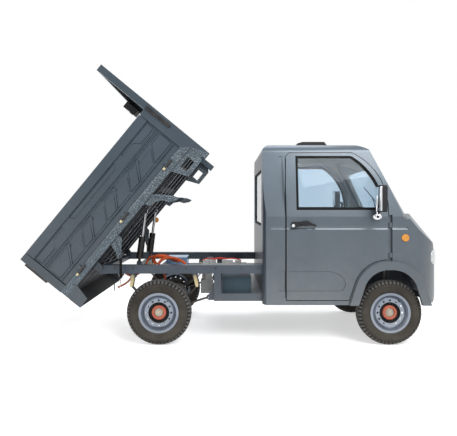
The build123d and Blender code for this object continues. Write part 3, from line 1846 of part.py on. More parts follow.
save(cab_floor, "cab_floor")

column_y = 230
wheel_centre = Vector(1010, column_y, 1045)
column_tilt = 32
column_axis = Vector(-cos(radians(column_tilt)), 0, sin(radians(column_tilt)))
column_radius = 18
sleeve_radius = 29
column_top = 90
column_foot = 250
column_hole_length = 600
steering_radius = 185
steering_tube_radius = 12
steering_tube_sides = 8
steering_hub_radius = 52
steering_hub_depth = (-24, 14)
spoke_size = (26, 10)
spoke_angles = (90, 210, 330)
dashboard_corners = (
    # x, z
    (1235, 860),
    (1235, 1010),
    (1290, 1056),
    (1500, 1085),
    (1500, 780),
    (1330, 780),
)
with BuildPart() as dashboard:
    side_plate(dashboard_corners, -side_room, side_room)
    add(cab_form(cab_wall + seat_gap), mode=Mode.INTERSECT)
    rod(
        wheel_centre - column_axis * column_top,
        wheel_centre - column_axis * column_hole_length,
        sleeve_radius + seat_gap,
        Mode.SUBTRACT,
    )
save(dashboard, "dashboard")

seat_half_width = 500
seat_corners = (
    # x, z
    (330, seat_base_z + seat_gap),
    (730, seat_base_z + seat_gap),
    (740, 800),
    (400, 790),
    (345, 1290),
    (285, 1290),
)
with BuildPart() as seat_bench:
    side_plate(seat_corners, -seat_half_width, seat_half_width)
save(seat_bench, "seat_bench")

with BuildPart() as steering_wheel:
    plane = Plane(origin=wheel_centre, x_dir=(0, 1, 0), z_dir=column_axis)
    with BuildSketch(Plane(origin=wheel_centre, x_dir=(0, 1, 0), z_dir=plane.y_dir)) as tube:
        with Locations((steering_radius, 0)):
            RegularPolygon(steering_tube_radius, steering_tube_sides)
    revolve(tube.sketch, axis=Axis(wheel_centre, column_axis))
    rod(
        wheel_centre + column_axis * steering_hub_depth[0],
        wheel_centre + column_axis * steering_hub_depth[1],
        steering_hub_radius,
    )
    rod(wheel_centre - column_axis * column_top, wheel_centre, column_radius)
    for angle in spoke_angles:
        arm = plane.x_dir * cos(radians(angle)) + plane.y_dir * sin(radians(angle))
        bar(wheel_centre, wheel_centre + arm * steering_radius, arm.cross(column_axis), *spoke_size)
save(steering_wheel, "steering_wheel")
with BuildPart() as steering_column:
    rod(
        wheel_centre - column_axis * (column_top + seat_gap),
        wheel_centre - column_axis * column_foot,
        sleeve_radius,
    )
save(steering_column, "steering_column")

# Arch flares, lamps, roof vent
with BuildPart() as arch_flares:
    for name, side in sides:
        y_low, y_high = mirrored(cab_half_width - flare_width, cab_half_width + flare_stand, side)
        extrude(moved_y(arch_outline(0), y_high), amount=y_high - y_low)
    extrude(arch_outline(-flare_width), amount=form_reach * 2, both=True, mode=Mode.SUBTRACT)
    block((*whole_low, 0), (*whole_high, sill_z), Mode.SUBTRACT)
    add(cab_form(-seat_gap), mode=Mode.SUBTRACT)
save(arch_flares, "arch_flares")

lamp_stand = 8
head_lamp_x = 1544
head_lamp_y = 430
head_lamp_z = 730
head_lamp_size = (190, 120)
head_lamp_corner = 40
with BuildPart() as cab_lamps:
    add(cab_form(-lamp_stand))
    add(cab_form(-seat_gap), mode=Mode.SUBTRACT)
    with BuildSketch(Plane.YZ.offset(head_lamp_x)) as lamp:
        with Locations((-head_lamp_y, head_lamp_z), (head_lamp_y, head_lamp_z)):
            RectangleRounded(*head_lamp_size, head_lamp_corner)
    extrude(lamp.sketch, amount=cab_half_width, mode=Mode.INTERSECT)
save(cab_lamps, "cab_lamps")

repeater_x = 1418
repeater_z = 904
repeater_radius = 30
with BuildPart() as side_repeaters:
    for name, side in sides:
        side_disc(
            repeater_x,
            repeater_z,
            repeater_radius,
            *mirrored(cab_half_width + seat_gap, cab_half_width + lamp_stand, side),
        )
save(side_repeaters, "side_repeaters")

vent_half_width = 190
vent_corners = (
    # x, z
    (594, 1690),
    (594, 1752),
    (640, 1764),
    (840, 1764),
    (895, 1690),
)
with BuildPart() as roof_vent:
    side_plate(vent_corners, -vent_half_width, vent_half_width)
    add(cab_form(-seat_gap), mode=Mode.SUBTRACT)
save(roof_vent, "roof_vent")
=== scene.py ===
"""The looks of a small electric tipper truck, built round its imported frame, in metres.

X runs forward, Y to the left and Z up from the ground. side is -1 on the right and +1 on the left,
and a distance called out runs from the truck's middle, or a wheel's, towards that side.
"""

import json
import math

import bmesh
import bpy
from mathutils import Matrix, Vector


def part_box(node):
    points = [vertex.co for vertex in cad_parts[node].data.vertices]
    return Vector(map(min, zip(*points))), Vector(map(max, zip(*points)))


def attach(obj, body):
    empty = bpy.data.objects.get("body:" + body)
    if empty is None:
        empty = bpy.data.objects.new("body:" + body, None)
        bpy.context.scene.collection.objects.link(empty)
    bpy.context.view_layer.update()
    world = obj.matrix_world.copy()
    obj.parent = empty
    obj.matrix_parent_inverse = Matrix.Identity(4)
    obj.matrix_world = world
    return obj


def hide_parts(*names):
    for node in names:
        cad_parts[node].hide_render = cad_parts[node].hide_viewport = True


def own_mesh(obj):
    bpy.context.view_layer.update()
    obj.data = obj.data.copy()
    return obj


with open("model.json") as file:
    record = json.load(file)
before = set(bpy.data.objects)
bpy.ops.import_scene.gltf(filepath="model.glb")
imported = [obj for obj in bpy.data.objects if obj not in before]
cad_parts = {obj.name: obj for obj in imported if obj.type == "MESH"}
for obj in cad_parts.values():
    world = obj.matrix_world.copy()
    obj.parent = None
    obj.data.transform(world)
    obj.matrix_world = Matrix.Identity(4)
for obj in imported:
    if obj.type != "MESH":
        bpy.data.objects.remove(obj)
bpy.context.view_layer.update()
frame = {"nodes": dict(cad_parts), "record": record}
nodes = frame["nodes"]

SIDES = (("right", -1), ("left", 1))
SMOOTH_ANGLE = math.radians(32)
MERGE_DISTANCE = 0.00002
SKIN_THICKNESS = 0.0006

# Camera, from the photograph's vanishing point and the spacing of the wheels
CAMERA_PLACE = Vector((-0.054, -4.072, 1.168))
FOCAL_PIXELS = 417.7
PHOTO_WIDTH, PHOTO_HEIGHT = 457, 436
VANISHING_X, VANISHING_Y = 228, 206
SENSOR = 36.0


def make_camera():
    """A level camera that looks along +Y, shifted as the photograph is cropped."""
    data = bpy.data.cameras.new("camera")
    data.sensor_width = SENSOR
    data.lens = FOCAL_PIXELS / PHOTO_WIDTH * SENSOR
    data.shift_x = (PHOTO_WIDTH / 2 - VANISHING_X) / PHOTO_WIDTH
    data.shift_y = (VANISHING_Y - PHOTO_HEIGHT / 2) / PHOTO_WIDTH
    camera = bpy.data.objects.new("camera", data)
    bpy.context.scene.collection.objects.link(camera)
    camera.location = CAMERA_PLACE
    camera.rotation_euler = (math.pi / 2, 0, 0)
    bpy.context.scene.camera = camera


# Shader groups
COLOUR, VALUE, VECTOR = "NodeSocketColor", "NodeSocketFloat", "NodeSocketVector"


def add_node(tree, kind, sockets=None, **values):
    """A node with these socket values and settings."""
    made = tree.nodes.new(kind)
    for key, value in values.items():
        setattr(made, key, value)
    for label, value in (sockets or {}).items():
        made.inputs[label].default_value = value
    return made


class Group:
    """A shader node group with named inputs and outputs, made once."""

    def __init__(self, name, inputs, outputs):
        self.tree = bpy.data.node_groups.new(name, "ShaderNodeTree")
        for label, kind, value in inputs:
            socket = self.tree.interface.new_socket(label, in_out="INPUT", socket_type=kind)
            if value is not None:
                socket.default_value = value
        for label, kind in outputs:
            self.tree.interface.new_socket(label, in_out="OUTPUT", socket_type=kind)
        self.start = self.tree.nodes.new("NodeGroupInput")
        self.end = self.tree.nodes.new("NodeGroupOutput")

    def node(self, kind, sockets=None, **values):
        return add_node(self.tree, kind, sockets, **values)

    def wire(self, *rows):
        """Links rows of node, its output, node, its input; None is the group's own end."""
        for source, output, target, entry in rows:
            source = self.start if source is None else source
            target = self.end if target is None else target
            self.tree.links.new(source.outputs[output], target.inputs[entry])


def make_tone_group():
    """Slow changes of tone over a surface, between two colours."""
    group = Group(
        "tone_change",
        (("Place", VECTOR, None), ("Scale", VALUE, 3.0), ("Low", COLOUR, None),
         ("High", COLOUR, None)),
        (("Color", COLOUR), ("Mask", VALUE)),
    )
    noise = group.node("ShaderNodeTexNoise", {"Detail": 5})
    mix = group.node("ShaderNodeMix", data_type="RGBA")
    ramp = group.node("ShaderNodeMapRange", {"From Min": 0.3, "From Max": 0.7})
    group.wire(
        (None, "Place", noise, "Vector"),
        (None, "Scale", noise, "Scale"),
        (noise, "Fac", ramp, "Value"),
        (ramp, "Result", mix, "Factor"),
        (None, "Low", mix, "A"),
        (None, "High", mix, "B"),
        (mix, "Result", None, "Color"),
        (ramp, "Result", None, "Mask"),
    )
    return group.tree


def make_dust_group():
    """Road dust that lies thickest near the ground and breaks up with height; on the body paint it
    is also a painted warm reflection of the ground.
    """
    group = Group(
        "road_dust",
        (("Place", VECTOR, None), ("Color", COLOUR, None), ("Dust", COLOUR, None),
         ("Top", VALUE, 0.8), ("Amount", VALUE, 0.5)),
        (("Color", COLOUR), ("Mask", VALUE)),
    )
    split = group.node("ShaderNodeSeparateXYZ")
    height = group.node("ShaderNodeMapRange", {"From Min": 0, "To Min": 1, "To Max": 0})
    noise = group.node("ShaderNodeTexNoise", {"Scale": 14, "Detail": 8, "Roughness": 0.7})
    breakup = group.node("ShaderNodeMath", operation="MULTIPLY")
    amount = group.node("ShaderNodeMath", operation="MULTIPLY")
    mix = group.node("ShaderNodeMix", data_type="RGBA")
    group.wire(
        (None, "Place", split, 0),
        (None, "Place", noise, "Vector"),
        (split, "Z", height, "Value"),
        (None, "Top", height, "From Max"),
        (height, "Result", breakup, 0),
        (noise, "Fac", breakup, 1),
        (breakup, 0, amount, 0),
        (None, "Amount", amount, 1),
        (amount, 0, mix, "Factor"),
        (None, "Color", mix, "A"),
        (None, "Dust", mix, "B"),
        (mix, "Result", None, "Color"),
        (amount, 0, None, "Mask"),
    )
    return group.tree


def make_grain_group():
    """Fine grain: a height for bump and a roughness that follows it."""
    group = Group(
        "fine_grain",
        (("Place", VECTOR, None), ("Scale", VALUE, 300.0), ("Rough Low", VALUE, 0.4),
         ("Rough High", VALUE, 0.6)),
        (("Height", VALUE), ("Roughness", VALUE)),
    )
    noise = group.node("ShaderNodeTexNoise", {"Detail": 3})
    rough = group.node("ShaderNodeMapRange")
    group.wire(
        (None, "Place", noise, "Vector"),
        (None, "Scale", noise, "Scale"),
        (noise, "Fac", rough, "Value"),
        (None, "Rough Low", rough, "To Min"),
        (None, "Rough High", rough, "To Max"),
        (noise, "Fac", None, "Height"),
        (rough, "Result", None, "Roughness"),
    )
    return group.tree


def make_stud_group():
    """The height of small raised studs, round cells set close together."""
    group = Group(
        "raised_studs", (("Place", VECTOR, None), ("Scale", VALUE, 90.0)), (("Height", VALUE),)
    )
    cells = group.node("ShaderNodeTexVoronoi")
    rise = group.node(
        "ShaderNodeMapRange", {"From Min": 0.45, "From Max": 0.15}, interpolation_type="SMOOTHSTEP"
    )
    group.wire(
        (None, "Place", cells, "Vector"),
        (None, "Scale", cells, "Scale"),
        (cells, "Distance", rise, "Value"),
        (rise, "Result", None, "Height"),
    )
    return group.tree


def make_wear_group():
    """A colour that is worn pale where the mask is high, broken up by noise."""
    group = Group(
        "worn_tops",
        (("Place", VECTOR, None), ("Mask", VALUE, 0.0), ("Low", COLOUR, None),
         ("High", COLOUR, None)),
        (("Color", COLOUR),),
    )
    noise = group.node("ShaderNodeTexNoise", {"Scale": 30, "Detail": 4})
    worn = group.node("ShaderNodeMath", operation="MULTIPLY")
    mix = group.node("ShaderNodeMix", data_type="RGBA")
    group.wire(
        (None, "Place", noise, "Vector"),
        (noise, "Fac", worn, 0),
        (None, "Mask", worn, 1),
        (worn, 0, mix, "Factor"),
        (None, "Low", mix, "A"),
        (None, "High", mix, "B"),
        (mix, "Result", None, "Color"),
    )
    return group.tree


TONE = make_tone_group()
STUDS = make_stud_group()
WEAR = make_wear_group()
DUST = make_dust_group()
GRAIN = make_grain_group()

DUST_COLOUR = (0.30, 0.26, 0.21)


class Finish:
    """A material being made: one Principled shader fed by the shared groups."""

    def __init__(self, name, metallic=0.0, **shader_values):
        self.material = bpy.data.materials.new(name)
        self.material.use_nodes = True
        self.tree = self.material.node_tree
        self.shader = self.tree.nodes["Principled BSDF"]
        self.shader.inputs["Metallic"].default_value = metallic
        for label, value in shader_values.items():
            self.shader.inputs[label.replace("_", " ")].default_value = value
        self.place = self.tree.nodes.new("ShaderNodeTexCoord").outputs["Object"]

    def group(self, tree, **values):
        """A shared group at work in this material, with its own values or linked sockets."""
        made = self.tree.nodes.new("ShaderNodeGroup")
        made.node_tree = tree
        self.tree.links.new(self.place, made.inputs["Place"])
        for label, value in values.items():
            socket = made.inputs[label.replace("_", " ")]
            if isinstance(value, bpy.types.NodeSocket):
                self.tree.links.new(value, socket)
            else:
                socket.default_value = value
        return made

    def tones(self, low, high, scale):
        return self.group(TONE, Low=(*low, 1), High=(*high, 1), Scale=scale).outputs["Color"]

    def dusty(self, colour, amount, top=0.9):
        made = self.group(DUST, Color=colour, Dust=(*DUST_COLOUR, 1), Top=top, Amount=amount)
        return made.outputs["Color"]

    def base(self, colour):
        self.tree.links.new(colour, self.shader.inputs["Base Color"])

    def grain(self, rough, scale, depth):
        made = self.group(GRAIN, Scale=scale, Rough_Low=rough[0], Rough_High=rough[1])
        self.tree.links.new(made.outputs["Roughness"], self.shader.inputs["Roughness"])
        self.bump(made.outputs["Height"], depth)

    def bump(self, height, depth):
        bump = self.tree.nodes.new("ShaderNodeBump")
        bump.inputs["Distance"].default_value = depth
        self.tree.links.new(height, bump.inputs["Height"])
        self.tree.links.new(bump.outputs["Normal"], self.shader.inputs["Normal"])


def paint(name, low, high, metallic=0.55, coat=0.5, rough=(0.3, 0.42), dust=0.25, top=0.7):
    """Body paint: metallic grains under a clear coat, with warm dust near the ground, which on the
    body paint is also a painted reflection of the ground.
    """
    finish = Finish(name, metallic, Coat_Weight=coat, Coat_Roughness=0.12)
    finish.base(finish.dusty(finish.tones(low, high, scale=2.2), dust, top))
    finish.grain(rough, scale=900.0, depth=0.00004)
    return finish.material


def plastic(name, low, high, rough=(0.45, 0.65), scale=260.0, depth=0.0002, dust=0.2, shine=0.3):
    """Moulded plastic or rubber with a fine grain and a little dust."""
    finish = Finish(name, Specular_IOR_Level=shine)
    finish.base(finish.dusty(finish.tones(low, high, scale=6.0), dust))
    finish.grain(rough, scale, depth)
    return finish.material


def metal(name, low, high, rough=(0.25, 0.45), dust=0.2):
    """Bare or plated metal."""
    finish = Finish(name, metallic=1.0)
    finish.base(finish.dusty(finish.tones(low, high, scale=9.0), dust))
    finish.grain(rough, scale=120.0, depth=0.0001)
    return finish.material


def hammered_plate(name, low, high, roughness=0.42, stud_scale=95.0, stud_depth=0.0012):
    """Painted plate rolled with a pattern of small raised studs, worn pale on their tops."""
    finish = Finish(name, metallic=0.5, Coat_Weight=0.2, Coat_Roughness=0.2, Roughness=roughness)
    studs = finish.group(STUDS, Scale=stud_scale).outputs["Height"]
    worn = finish.group(WEAR, Low=(*low, 1), High=(*high, 1), Mask=studs)
    finish.base(worn.outputs["Color"])
    finish.bump(studs, stud_depth)
    return finish.material


def lens(name, low, high, rough=(0.05, 0.12), transmission=0.3):
    """A glossy lamp lens."""
    finish = Finish(name, Transmission_Weight=transmission, Coat_Weight=0.6)
    finish.base(finish.tones(low, high, scale=20.0))
    finish.grain(rough, scale=80.0, depth=0.0004)
    return finish.material


def window_glass():
    """Tinted window glass that shows the cab through it."""
    finish = Finish("window_glass", Transmission_Weight=0.96, IOR=1.2)
    finish.base(finish.tones((0.62, 0.74, 0.84), (0.74, 0.83, 0.89), scale=2.0))
    finish.grain((0.0, 0.015), scale=2.0, depth=0.0)
    return finish.material


MATERIALS = {
    # Warm dust near the ground, up to 1.3 m: partly road dust and partly a painted warm reflection
    # of the ground on the lower body.
    "body_paint": paint(
        "body_paint", (0.070, 0.096, 0.122), (0.086, 0.114, 0.142), metallic=0.3, coat=0.3,
        dust=0.5, top=1.3,
    ),
    # A darker copy of the body paint: the bed's extra darkness is painted shade.
    "bed_paint": paint(
        "bed_paint", (0.036, 0.056, 0.076), (0.052, 0.076, 0.100), metallic=0.3, coat=0.3,
        dust=0.3, top=1.6,
    ),
    "frame_paint": paint(
        "frame_paint", (0.034, 0.048, 0.070), (0.055, 0.074, 0.098), metallic=0.4, coat=0.2,
        rough=(0.4, 0.55), dust=0.4, top=0.8,
    ),
    # Near-black paint for the bed's underside, the rear skirt's inside and the rear closing plate:
    # painted shade.
    "painted_underside_shade": paint(
        "painted_underside_shade", (0.008, 0.010, 0.014), (0.016, 0.020, 0.026), metallic=0.1, coat=0.0,
        rough=(0.6, 0.8), dust=0.2,
    ),
    "studded_plate": hammered_plate("studded_plate", (0.075, 0.098, 0.118), (0.36, 0.40, 0.43)),
    # Paler paint for the underfloor runners: a painted highlight on their edges.
    "painted_edge_highlight": paint(
        "painted_edge_highlight", (0.11, 0.13, 0.15), (0.18, 0.20, 0.22), metallic=0.2, dust=0.3
    ),
    "cab_trim": plastic("cab_trim", (0.36, 0.36, 0.32), (0.46, 0.45, 0.40), dust=0.05),
    "red_wire": plastic("red_wire", (0.45, 0.02, 0.015), (0.60, 0.05, 0.03)),
    "pale_wire": plastic("pale_wire", (0.50, 0.48, 0.46), (0.68, 0.64, 0.62)),
    "hub_casting": metal(
        "hub_casting", (0.30, 0.27, 0.21), (0.52, 0.48, 0.40), rough=(0.45, 0.7), dust=0.4
    ),
    # Near-black for the drum face and nuts in each wheel's recess: painted shade.
    "recess_painted_shade": plastic(
        "recess_painted_shade", (0.008, 0.008, 0.009), (0.018, 0.018, 0.02), rough=(0.5, 0.8), dust=0.1,
        shine=0.15,
    ),
    "dark_metal": metal(
        "dark_metal", (0.03, 0.03, 0.035), (0.07, 0.065, 0.06), rough=(0.4, 0.6), dust=0.4
    ),
    "steel": metal("steel", (0.45, 0.45, 0.46), (0.62, 0.62, 0.63)),
    "chrome": metal(
        "chrome", (0.75, 0.76, 0.78), (0.85, 0.86, 0.88), rough=(0.08, 0.16), dust=0.05
    ),
    "cream_metal": paint(
        "cream_metal", (0.62, 0.52, 0.26), (0.72, 0.62, 0.36), metallic=0.1, dust=0.4
    ),
    "black_plastic": plastic(
        "black_plastic", (0.009, 0.009, 0.011), (0.018, 0.018, 0.021), dust=0.08
    ),
    "rubber": plastic(
        "rubber", (0.006, 0.006, 0.006), (0.013, 0.013, 0.012), rough=(0.6, 0.85), scale=120.0,
        dust=0.05, shine=0.15,
    ),
    "tyre": plastic(
        "tyre", (0.018, 0.017, 0.016), (0.036, 0.033, 0.029), rough=(0.7, 0.9), scale=180.0,
        depth=0.0004, dust=0.30, shine=0.12,
    ),
    "rim_metal": paint(
        "rim_metal", (0.15, 0.185, 0.24), (0.25, 0.29, 0.35), metallic=0.7, coat=0.3,
        rough=(0.25, 0.4), dust=0.4,
    ),
    "battery_case": plastic("battery_case", (0.012, 0.035, 0.055), (0.02, 0.05, 0.07)),
    "blue_case": metal(
        "blue_case", (0.18, 0.34, 0.55), (0.28, 0.44, 0.62), rough=(0.2, 0.35), dust=0.1
    ),
    "grey_case": plastic("grey_case", (0.28, 0.29, 0.29), (0.42, 0.43, 0.42)),
    "orange_sheath": plastic("orange_sheath", (0.42, 0.055, 0.010), (0.62, 0.110, 0.022)),
    "hub_orange": plastic(
        "hub_orange", (0.34, 0.050, 0.022), (0.50, 0.090, 0.042), rough=(0.4, 0.6), scale=90.0,
        depth=0.0004, dust=0.5,
    ),
    # Paler rubber for the tread lugs: the paleness is a painted highlight on their tops.
    "lug_rubber_highlight": plastic(
        "lug_rubber_highlight", (0.040, 0.041, 0.043), (0.075, 0.074, 0.072), rough=(0.5, 0.7),
        scale=200.0, depth=0.0003, shine=0.35,
    ),
    "seat_cover": plastic("seat_cover", (0.020, 0.020, 0.022), (0.05, 0.05, 0.052), scale=700.0),
    "lamp_lens": lens("lamp_lens", (0.75, 0.78, 0.80), (0.85, 0.87, 0.88)),
    "red_lens": lens("red_lens", (0.60, 0.03, 0.015), (0.75, 0.08, 0.03)),
    "amber_lens": lens("amber_lens", (0.85, 0.30, 0.02), (0.95, 0.42, 0.04)),
    "glass": window_glass(),
}


def dress_frame():
    """Gives each node of the frame the finish of its slot."""
    slots = {row["node"]: row["material_slot"] for row in frame["record"]["subparts"]}
    for name, node in nodes.items():
        node.data.materials.clear()
        node.data.materials.append(MATERIALS[slots[name]])


# Modelling helpers


def only(piece):
    """Leaves one object selected and active."""
    bpy.ops.object.select_all(action="DESELECT")
    piece.select_set(True)
    bpy.context.view_layer.objects.active = piece


def edit(piece):
    """Opens a piece in edit mode with nothing selected and returns its mesh to select in."""
    only(piece)
    bpy.ops.object.mode_set(mode="EDIT")
    bpy.ops.mesh.select_all(action="DESELECT")
    return bmesh.from_edit_mesh(piece.data)


def leave_edit():
    bpy.ops.object.mode_set(mode="OBJECT")


def modifier(piece, kind, **values):
    """Adds a modifier with these values and applies it."""
    only(piece)
    made = piece.modifiers.new(kind.lower(), kind)
    for key, value in values.items():
        setattr(made, key, value)
    bpy.ops.object.modifier_apply(modifier=made.name)


def rounded(piece, width, segments=2):
    """Bevels a piece's edges."""
    modifier(piece, "BEVEL", width=width, segments=segments, limit_method="ANGLE")


def settle(piece):
    """Puts a piece's place into its mesh and smooths its round faces."""
    only(piece)
    bpy.ops.object.transform_apply(location=True, rotation=True, scale=True)
    bpy.ops.object.shade_smooth_by_angle(angle=SMOOTH_ANGLE)


def done(piece, name, body, slot, material=None, replaces=()):
    """Finishes a piece: its name, its finish (that of its slot unless another is given) and body,
    and the nodes that it stands for.
    """
    settle(piece)
    piece.name = name
    piece.data.name = name
    piece.data.materials.clear()
    piece.data.materials.append(MATERIALS[material or slot])
    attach(piece, body)
    if replaces:
        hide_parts(*replaces)
    return piece


def linked(name, data):
    """A new object of this data, linked into the scene."""
    piece = bpy.data.objects.new(name, data)
    bpy.context.scene.collection.objects.link(piece)
    return piece


def cube(low, high, bevel=0.0, segments=2):
    """A block between two corners, with its edges rounded."""
    low, high = Vector(low), Vector(high)
    bpy.ops.object.select_all(action="DESELECT")
    bpy.ops.mesh.primitive_cube_add(size=1, location=(low + high) / 2)
    piece = bpy.context.active_object
    piece.scale = high - low
    bpy.ops.object.transform_apply(location=False, rotation=False, scale=True)
    if bevel:
        rounded(piece, bevel, segments)
    return piece


def side_block(side, x, out, z, bevel=0.0, segments=2):
    """A block on one side, from its lowest and highest x, distance out and z."""
    y = sorted((side * out[0], side * out[1]))
    return cube((x[0], y[0], z[0]), (x[1], y[1], z[1]), bevel, segments)


def cylinder(start, end, radius, sides=32, bevel=0.0):
    """A round bar from start to end."""
    start, end = Vector(start), Vector(end)
    bpy.ops.object.select_all(action="DESELECT")
    bpy.ops.mesh.primitive_cylinder_add(
        vertices=sides, radius=radius, depth=(end - start).length, location=(start + end) / 2
    )
    piece = bpy.context.active_object
    piece.rotation_mode = "QUATERNION"
    piece.rotation_quaternion = (end - start).to_track_quat("Z", "Y")
    if bevel:
        rounded(piece, bevel)
    return piece


def tube(points, radius, sides=6):
    """A bent bar or wire along smooth points."""
    curve = bpy.data.curves.new("tube", "CURVE")
    curve.dimensions = "3D"
    curve.bevel_depth = radius
    curve.bevel_resolution = sides // 2
    curve.resolution_u = 6
    curve.use_fill_caps = True
    spline = curve.splines.new("NURBS")
    spline.points.add(len(points) - 1)
    for point, place in zip(spline.points, points):
        point.co = (*place, 1)
    spline.order_u = 3
    spline.use_endpoint_u = True
    only(linked("tube", curve))
    bpy.ops.object.convert(target="MESH")
    return bpy.context.active_object


def outward(profile, side, start=0.0):
    """A profile of (radius, distance out) as points of (radius, y) on one side."""
    return [(radius, side * (start + out)) for radius, out in profile]


def spun(profile, centre, steps=64):
    """A profile of (radius, y) points spun about the Y axis through centre."""
    mesh = bpy.data.meshes.new("spun")
    points = [(radius, y, 0) for radius, y in profile]
    edges = [(i, i + 1) for i in range(len(points) - 1)]
    mesh.from_pydata(points, edges, [])
    piece = linked("spun", mesh)
    edit(piece)
    bpy.ops.mesh.select_all(action="SELECT")
    bpy.ops.mesh.spin(steps=steps, angle=math.tau, center=(0, 0, 0), axis=(0, 1, 0))
    bpy.ops.mesh.select_all(action="SELECT")
    bpy.ops.mesh.remove_doubles(threshold=MERGE_DISTANCE)
    bpy.ops.mesh.normals_make_consistent(inside=False)
    leave_edit()
    piece.location = centre
    return piece


def plate(outline, y_low, y_high, bevel=0.0012):
    """A flat plate of this outline in x and z, between two y values."""
    mesh = bpy.data.meshes.new("plate")
    mesh.from_pydata([(x, y_low, z) for x, z in outline], [], [tuple(range(len(outline)))])
    piece = linked("plate", mesh)
    edit(piece)
    bpy.ops.mesh.select_all(action="SELECT")
    bpy.ops.mesh.extrude_region_move(TRANSFORM_OT_translate={"value": (0, y_high - y_low, 0)})
    bpy.ops.mesh.select_all(action="SELECT")
    bpy.ops.mesh.normals_make_consistent(inside=False)
    leave_edit()
    rounded(piece, bevel, segments=1)
    return piece


def joined(pieces):
    """Several pieces made one."""
    bpy.ops.object.select_all(action="DESELECT")
    for piece in pieces:
        piece.select_set(True)
    bpy.context.view_layer.objects.active = pieces[0]
    bpy.ops.object.join()
    return bpy.context.active_object


def copied(piece, matrix=None):
    """A copy with its own mesh, moved by a matrix."""
    made = piece.copy()
    made.data = piece.data.copy()
    bpy.context.scene.collection.objects.link(made)
    if matrix is not None:
        made.matrix_world = matrix @ made.matrix_world
    return made


def merged_copy(node):
    """A free copy of a frame node with its loose triangles merged."""
    made = linked(node + "_copy", nodes[node].data.copy())
    edit(made)
    bpy.ops.mesh.select_all(action="SELECT")
    bpy.ops.mesh.remove_doubles(threshold=MERGE_DISTANCE)
    bpy.ops.mesh.tris_convert_to_quads()
    leave_edit()
    return made


def chosen_faces(node, keep):
    """A merged copy of a node with only the faces that keep() chooses."""
    made = merged_copy(node)
    mesh = edit(made)
    for face in mesh.faces:
        face.select = not keep(face)
    bmesh.update_edit_mesh(made.data)
    bpy.ops.mesh.delete(type="FACE")
    leave_edit()
    return made


def skin(node, name, body, slot, material, keep):
    """A thin layer of another finish over those faces of a node that keep() chooses."""
    layer = chosen_faces(node, keep)
    modifier(layer, "SOLIDIFY", thickness=SKIN_THICKNESS, offset=1.0)
    return done(layer, name, body, slot, material)


# Tyres: halves of closed profiles, as radius and distance from the middle, from bead to crown
TYRE_RADIUS = (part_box("tyre_rear_right")[1].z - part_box("tyre_rear_right")[0].z) / 2
LUG_ROWS = 50
LUG_HEIGHT = 0.011
TREAD_RADIUS = TYRE_RADIUS - LUG_HEIGHT
CARCASS_OUTSIDE = (
    (0.154, 0.034), (0.160, 0.042), (0.172, 0.050), (0.180, 0.0540), (0.183, 0.0565),
    (0.186, 0.0565), (0.189, 0.0560), (0.192, 0.0585), (0.212, 0.0612), (0.220, 0.0614),
    (0.222, 0.0622), (0.227, 0.0622), (0.229, 0.0600), (0.240, 0.0560), (0.250, 0.0500),
    (TREAD_RADIUS, 0.0400), (TREAD_RADIUS + 0.001, 0.0),
)
CARCASS_INSIDE = ((0.170, 0.036), (0.210, 0.052), (0.240, 0.046), (0.252, 0.0))
# The band is the tread's floor between the lugs; its near-black rubber is painted shade.
BAND_OUTSIDE = (
    (0.2430, 0.0562), (0.2500, 0.0510), (TREAD_RADIUS + 0.0006, 0.0408),
    (TREAD_RADIUS + 0.0014, 0.0),
)
BAND_INSIDE = ((0.2430, 0.0500), (0.2520, 0.0400), (0.2560, 0.0))
# Lugs of one pitch on one side
LUGS = (
    # y_in, y_out, turn, width, drop of the outer end
    (0.023, 0.0520, 0.0, 0.020, 0.014),
    (0.001, 0.0205, 0.5, 0.021, 0.0),
)
LUG_ROOT = 0.006
LUG_BEVEL = 0.0014
LUG_SHOULDER = 0.05
SHOULDER_SPREAD = 0.0035
ROOT_DROP = 1.3
CROWN_DROP = 0.001
SIDE_TURN = 0.25


def tyre_ring(outside, inside):
    """A ring from the outer and inner halves of its section, mirrored across the middle."""
    outer = [(r, -y) for r, y in outside] + [(r, y) for r, y in reversed(outside[:-1])]
    inner = [(r, y) for r, y in inside] + [(r, -y) for r, y in reversed(inside[:-1])]
    return spun(outer + inner + [outer[0]], (0, 0, 0), steps=96)


def tread_lug(side, y_in, y_out, width, drop):
    """One lug at the top of the tyre, whose outer end bends down over the shoulder by drop."""
    root = TYRE_RADIUS - LUG_HEIGHT - LUG_ROOT
    lug = side_block(side, (-width / 2, width / 2), (y_in, y_out), (root, TYRE_RADIUS))
    mesh = edit(lug)
    for vertex in mesh.verts:
        place = lug.matrix_world @ vertex.co
        if drop and abs(place.y) > LUG_SHOULDER:
            low = place.z < (root + TYRE_RADIUS) / 2
            vertex.co.z -= drop * (ROOT_DROP if low else 1.0)
            vertex.co.y += side * SHOULDER_SPREAD * low
        elif drop:
            vertex.co.z -= CROWN_DROP
    bmesh.update_edit_mesh(lug.data)
    leave_edit()
    rounded(lug, LUG_BEVEL, segments=1)
    settle(lug)
    return lug


def tread_pitch():
    """One pitch of tread: a shoulder lug and a centre block on each side."""
    lugs = []
    pitch = math.tau / LUG_ROWS
    for side in (-1, 1):
        for y_in, y_out, turn, width, drop in LUGS:
            lug = tread_lug(side, y_in, y_out, width, drop)
            turn += SIDE_TURN * (side + 1)
            lug.data.transform(Matrix.Rotation(turn * pitch, 4, "Y"))
            lugs.append(lug)
    return joined(lugs)


def wheels(kind):
    """The place's name, side, centre and body of each wheel, by the box of its tyre or rim."""
    for end in ("front", "rear"):
        for name, side in SIDES:
            low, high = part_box(f"{kind}_{end}_{name}")
            yield f"{end}_{name}", side, (low + high) / 2, f"wheel_{end}_{name}"


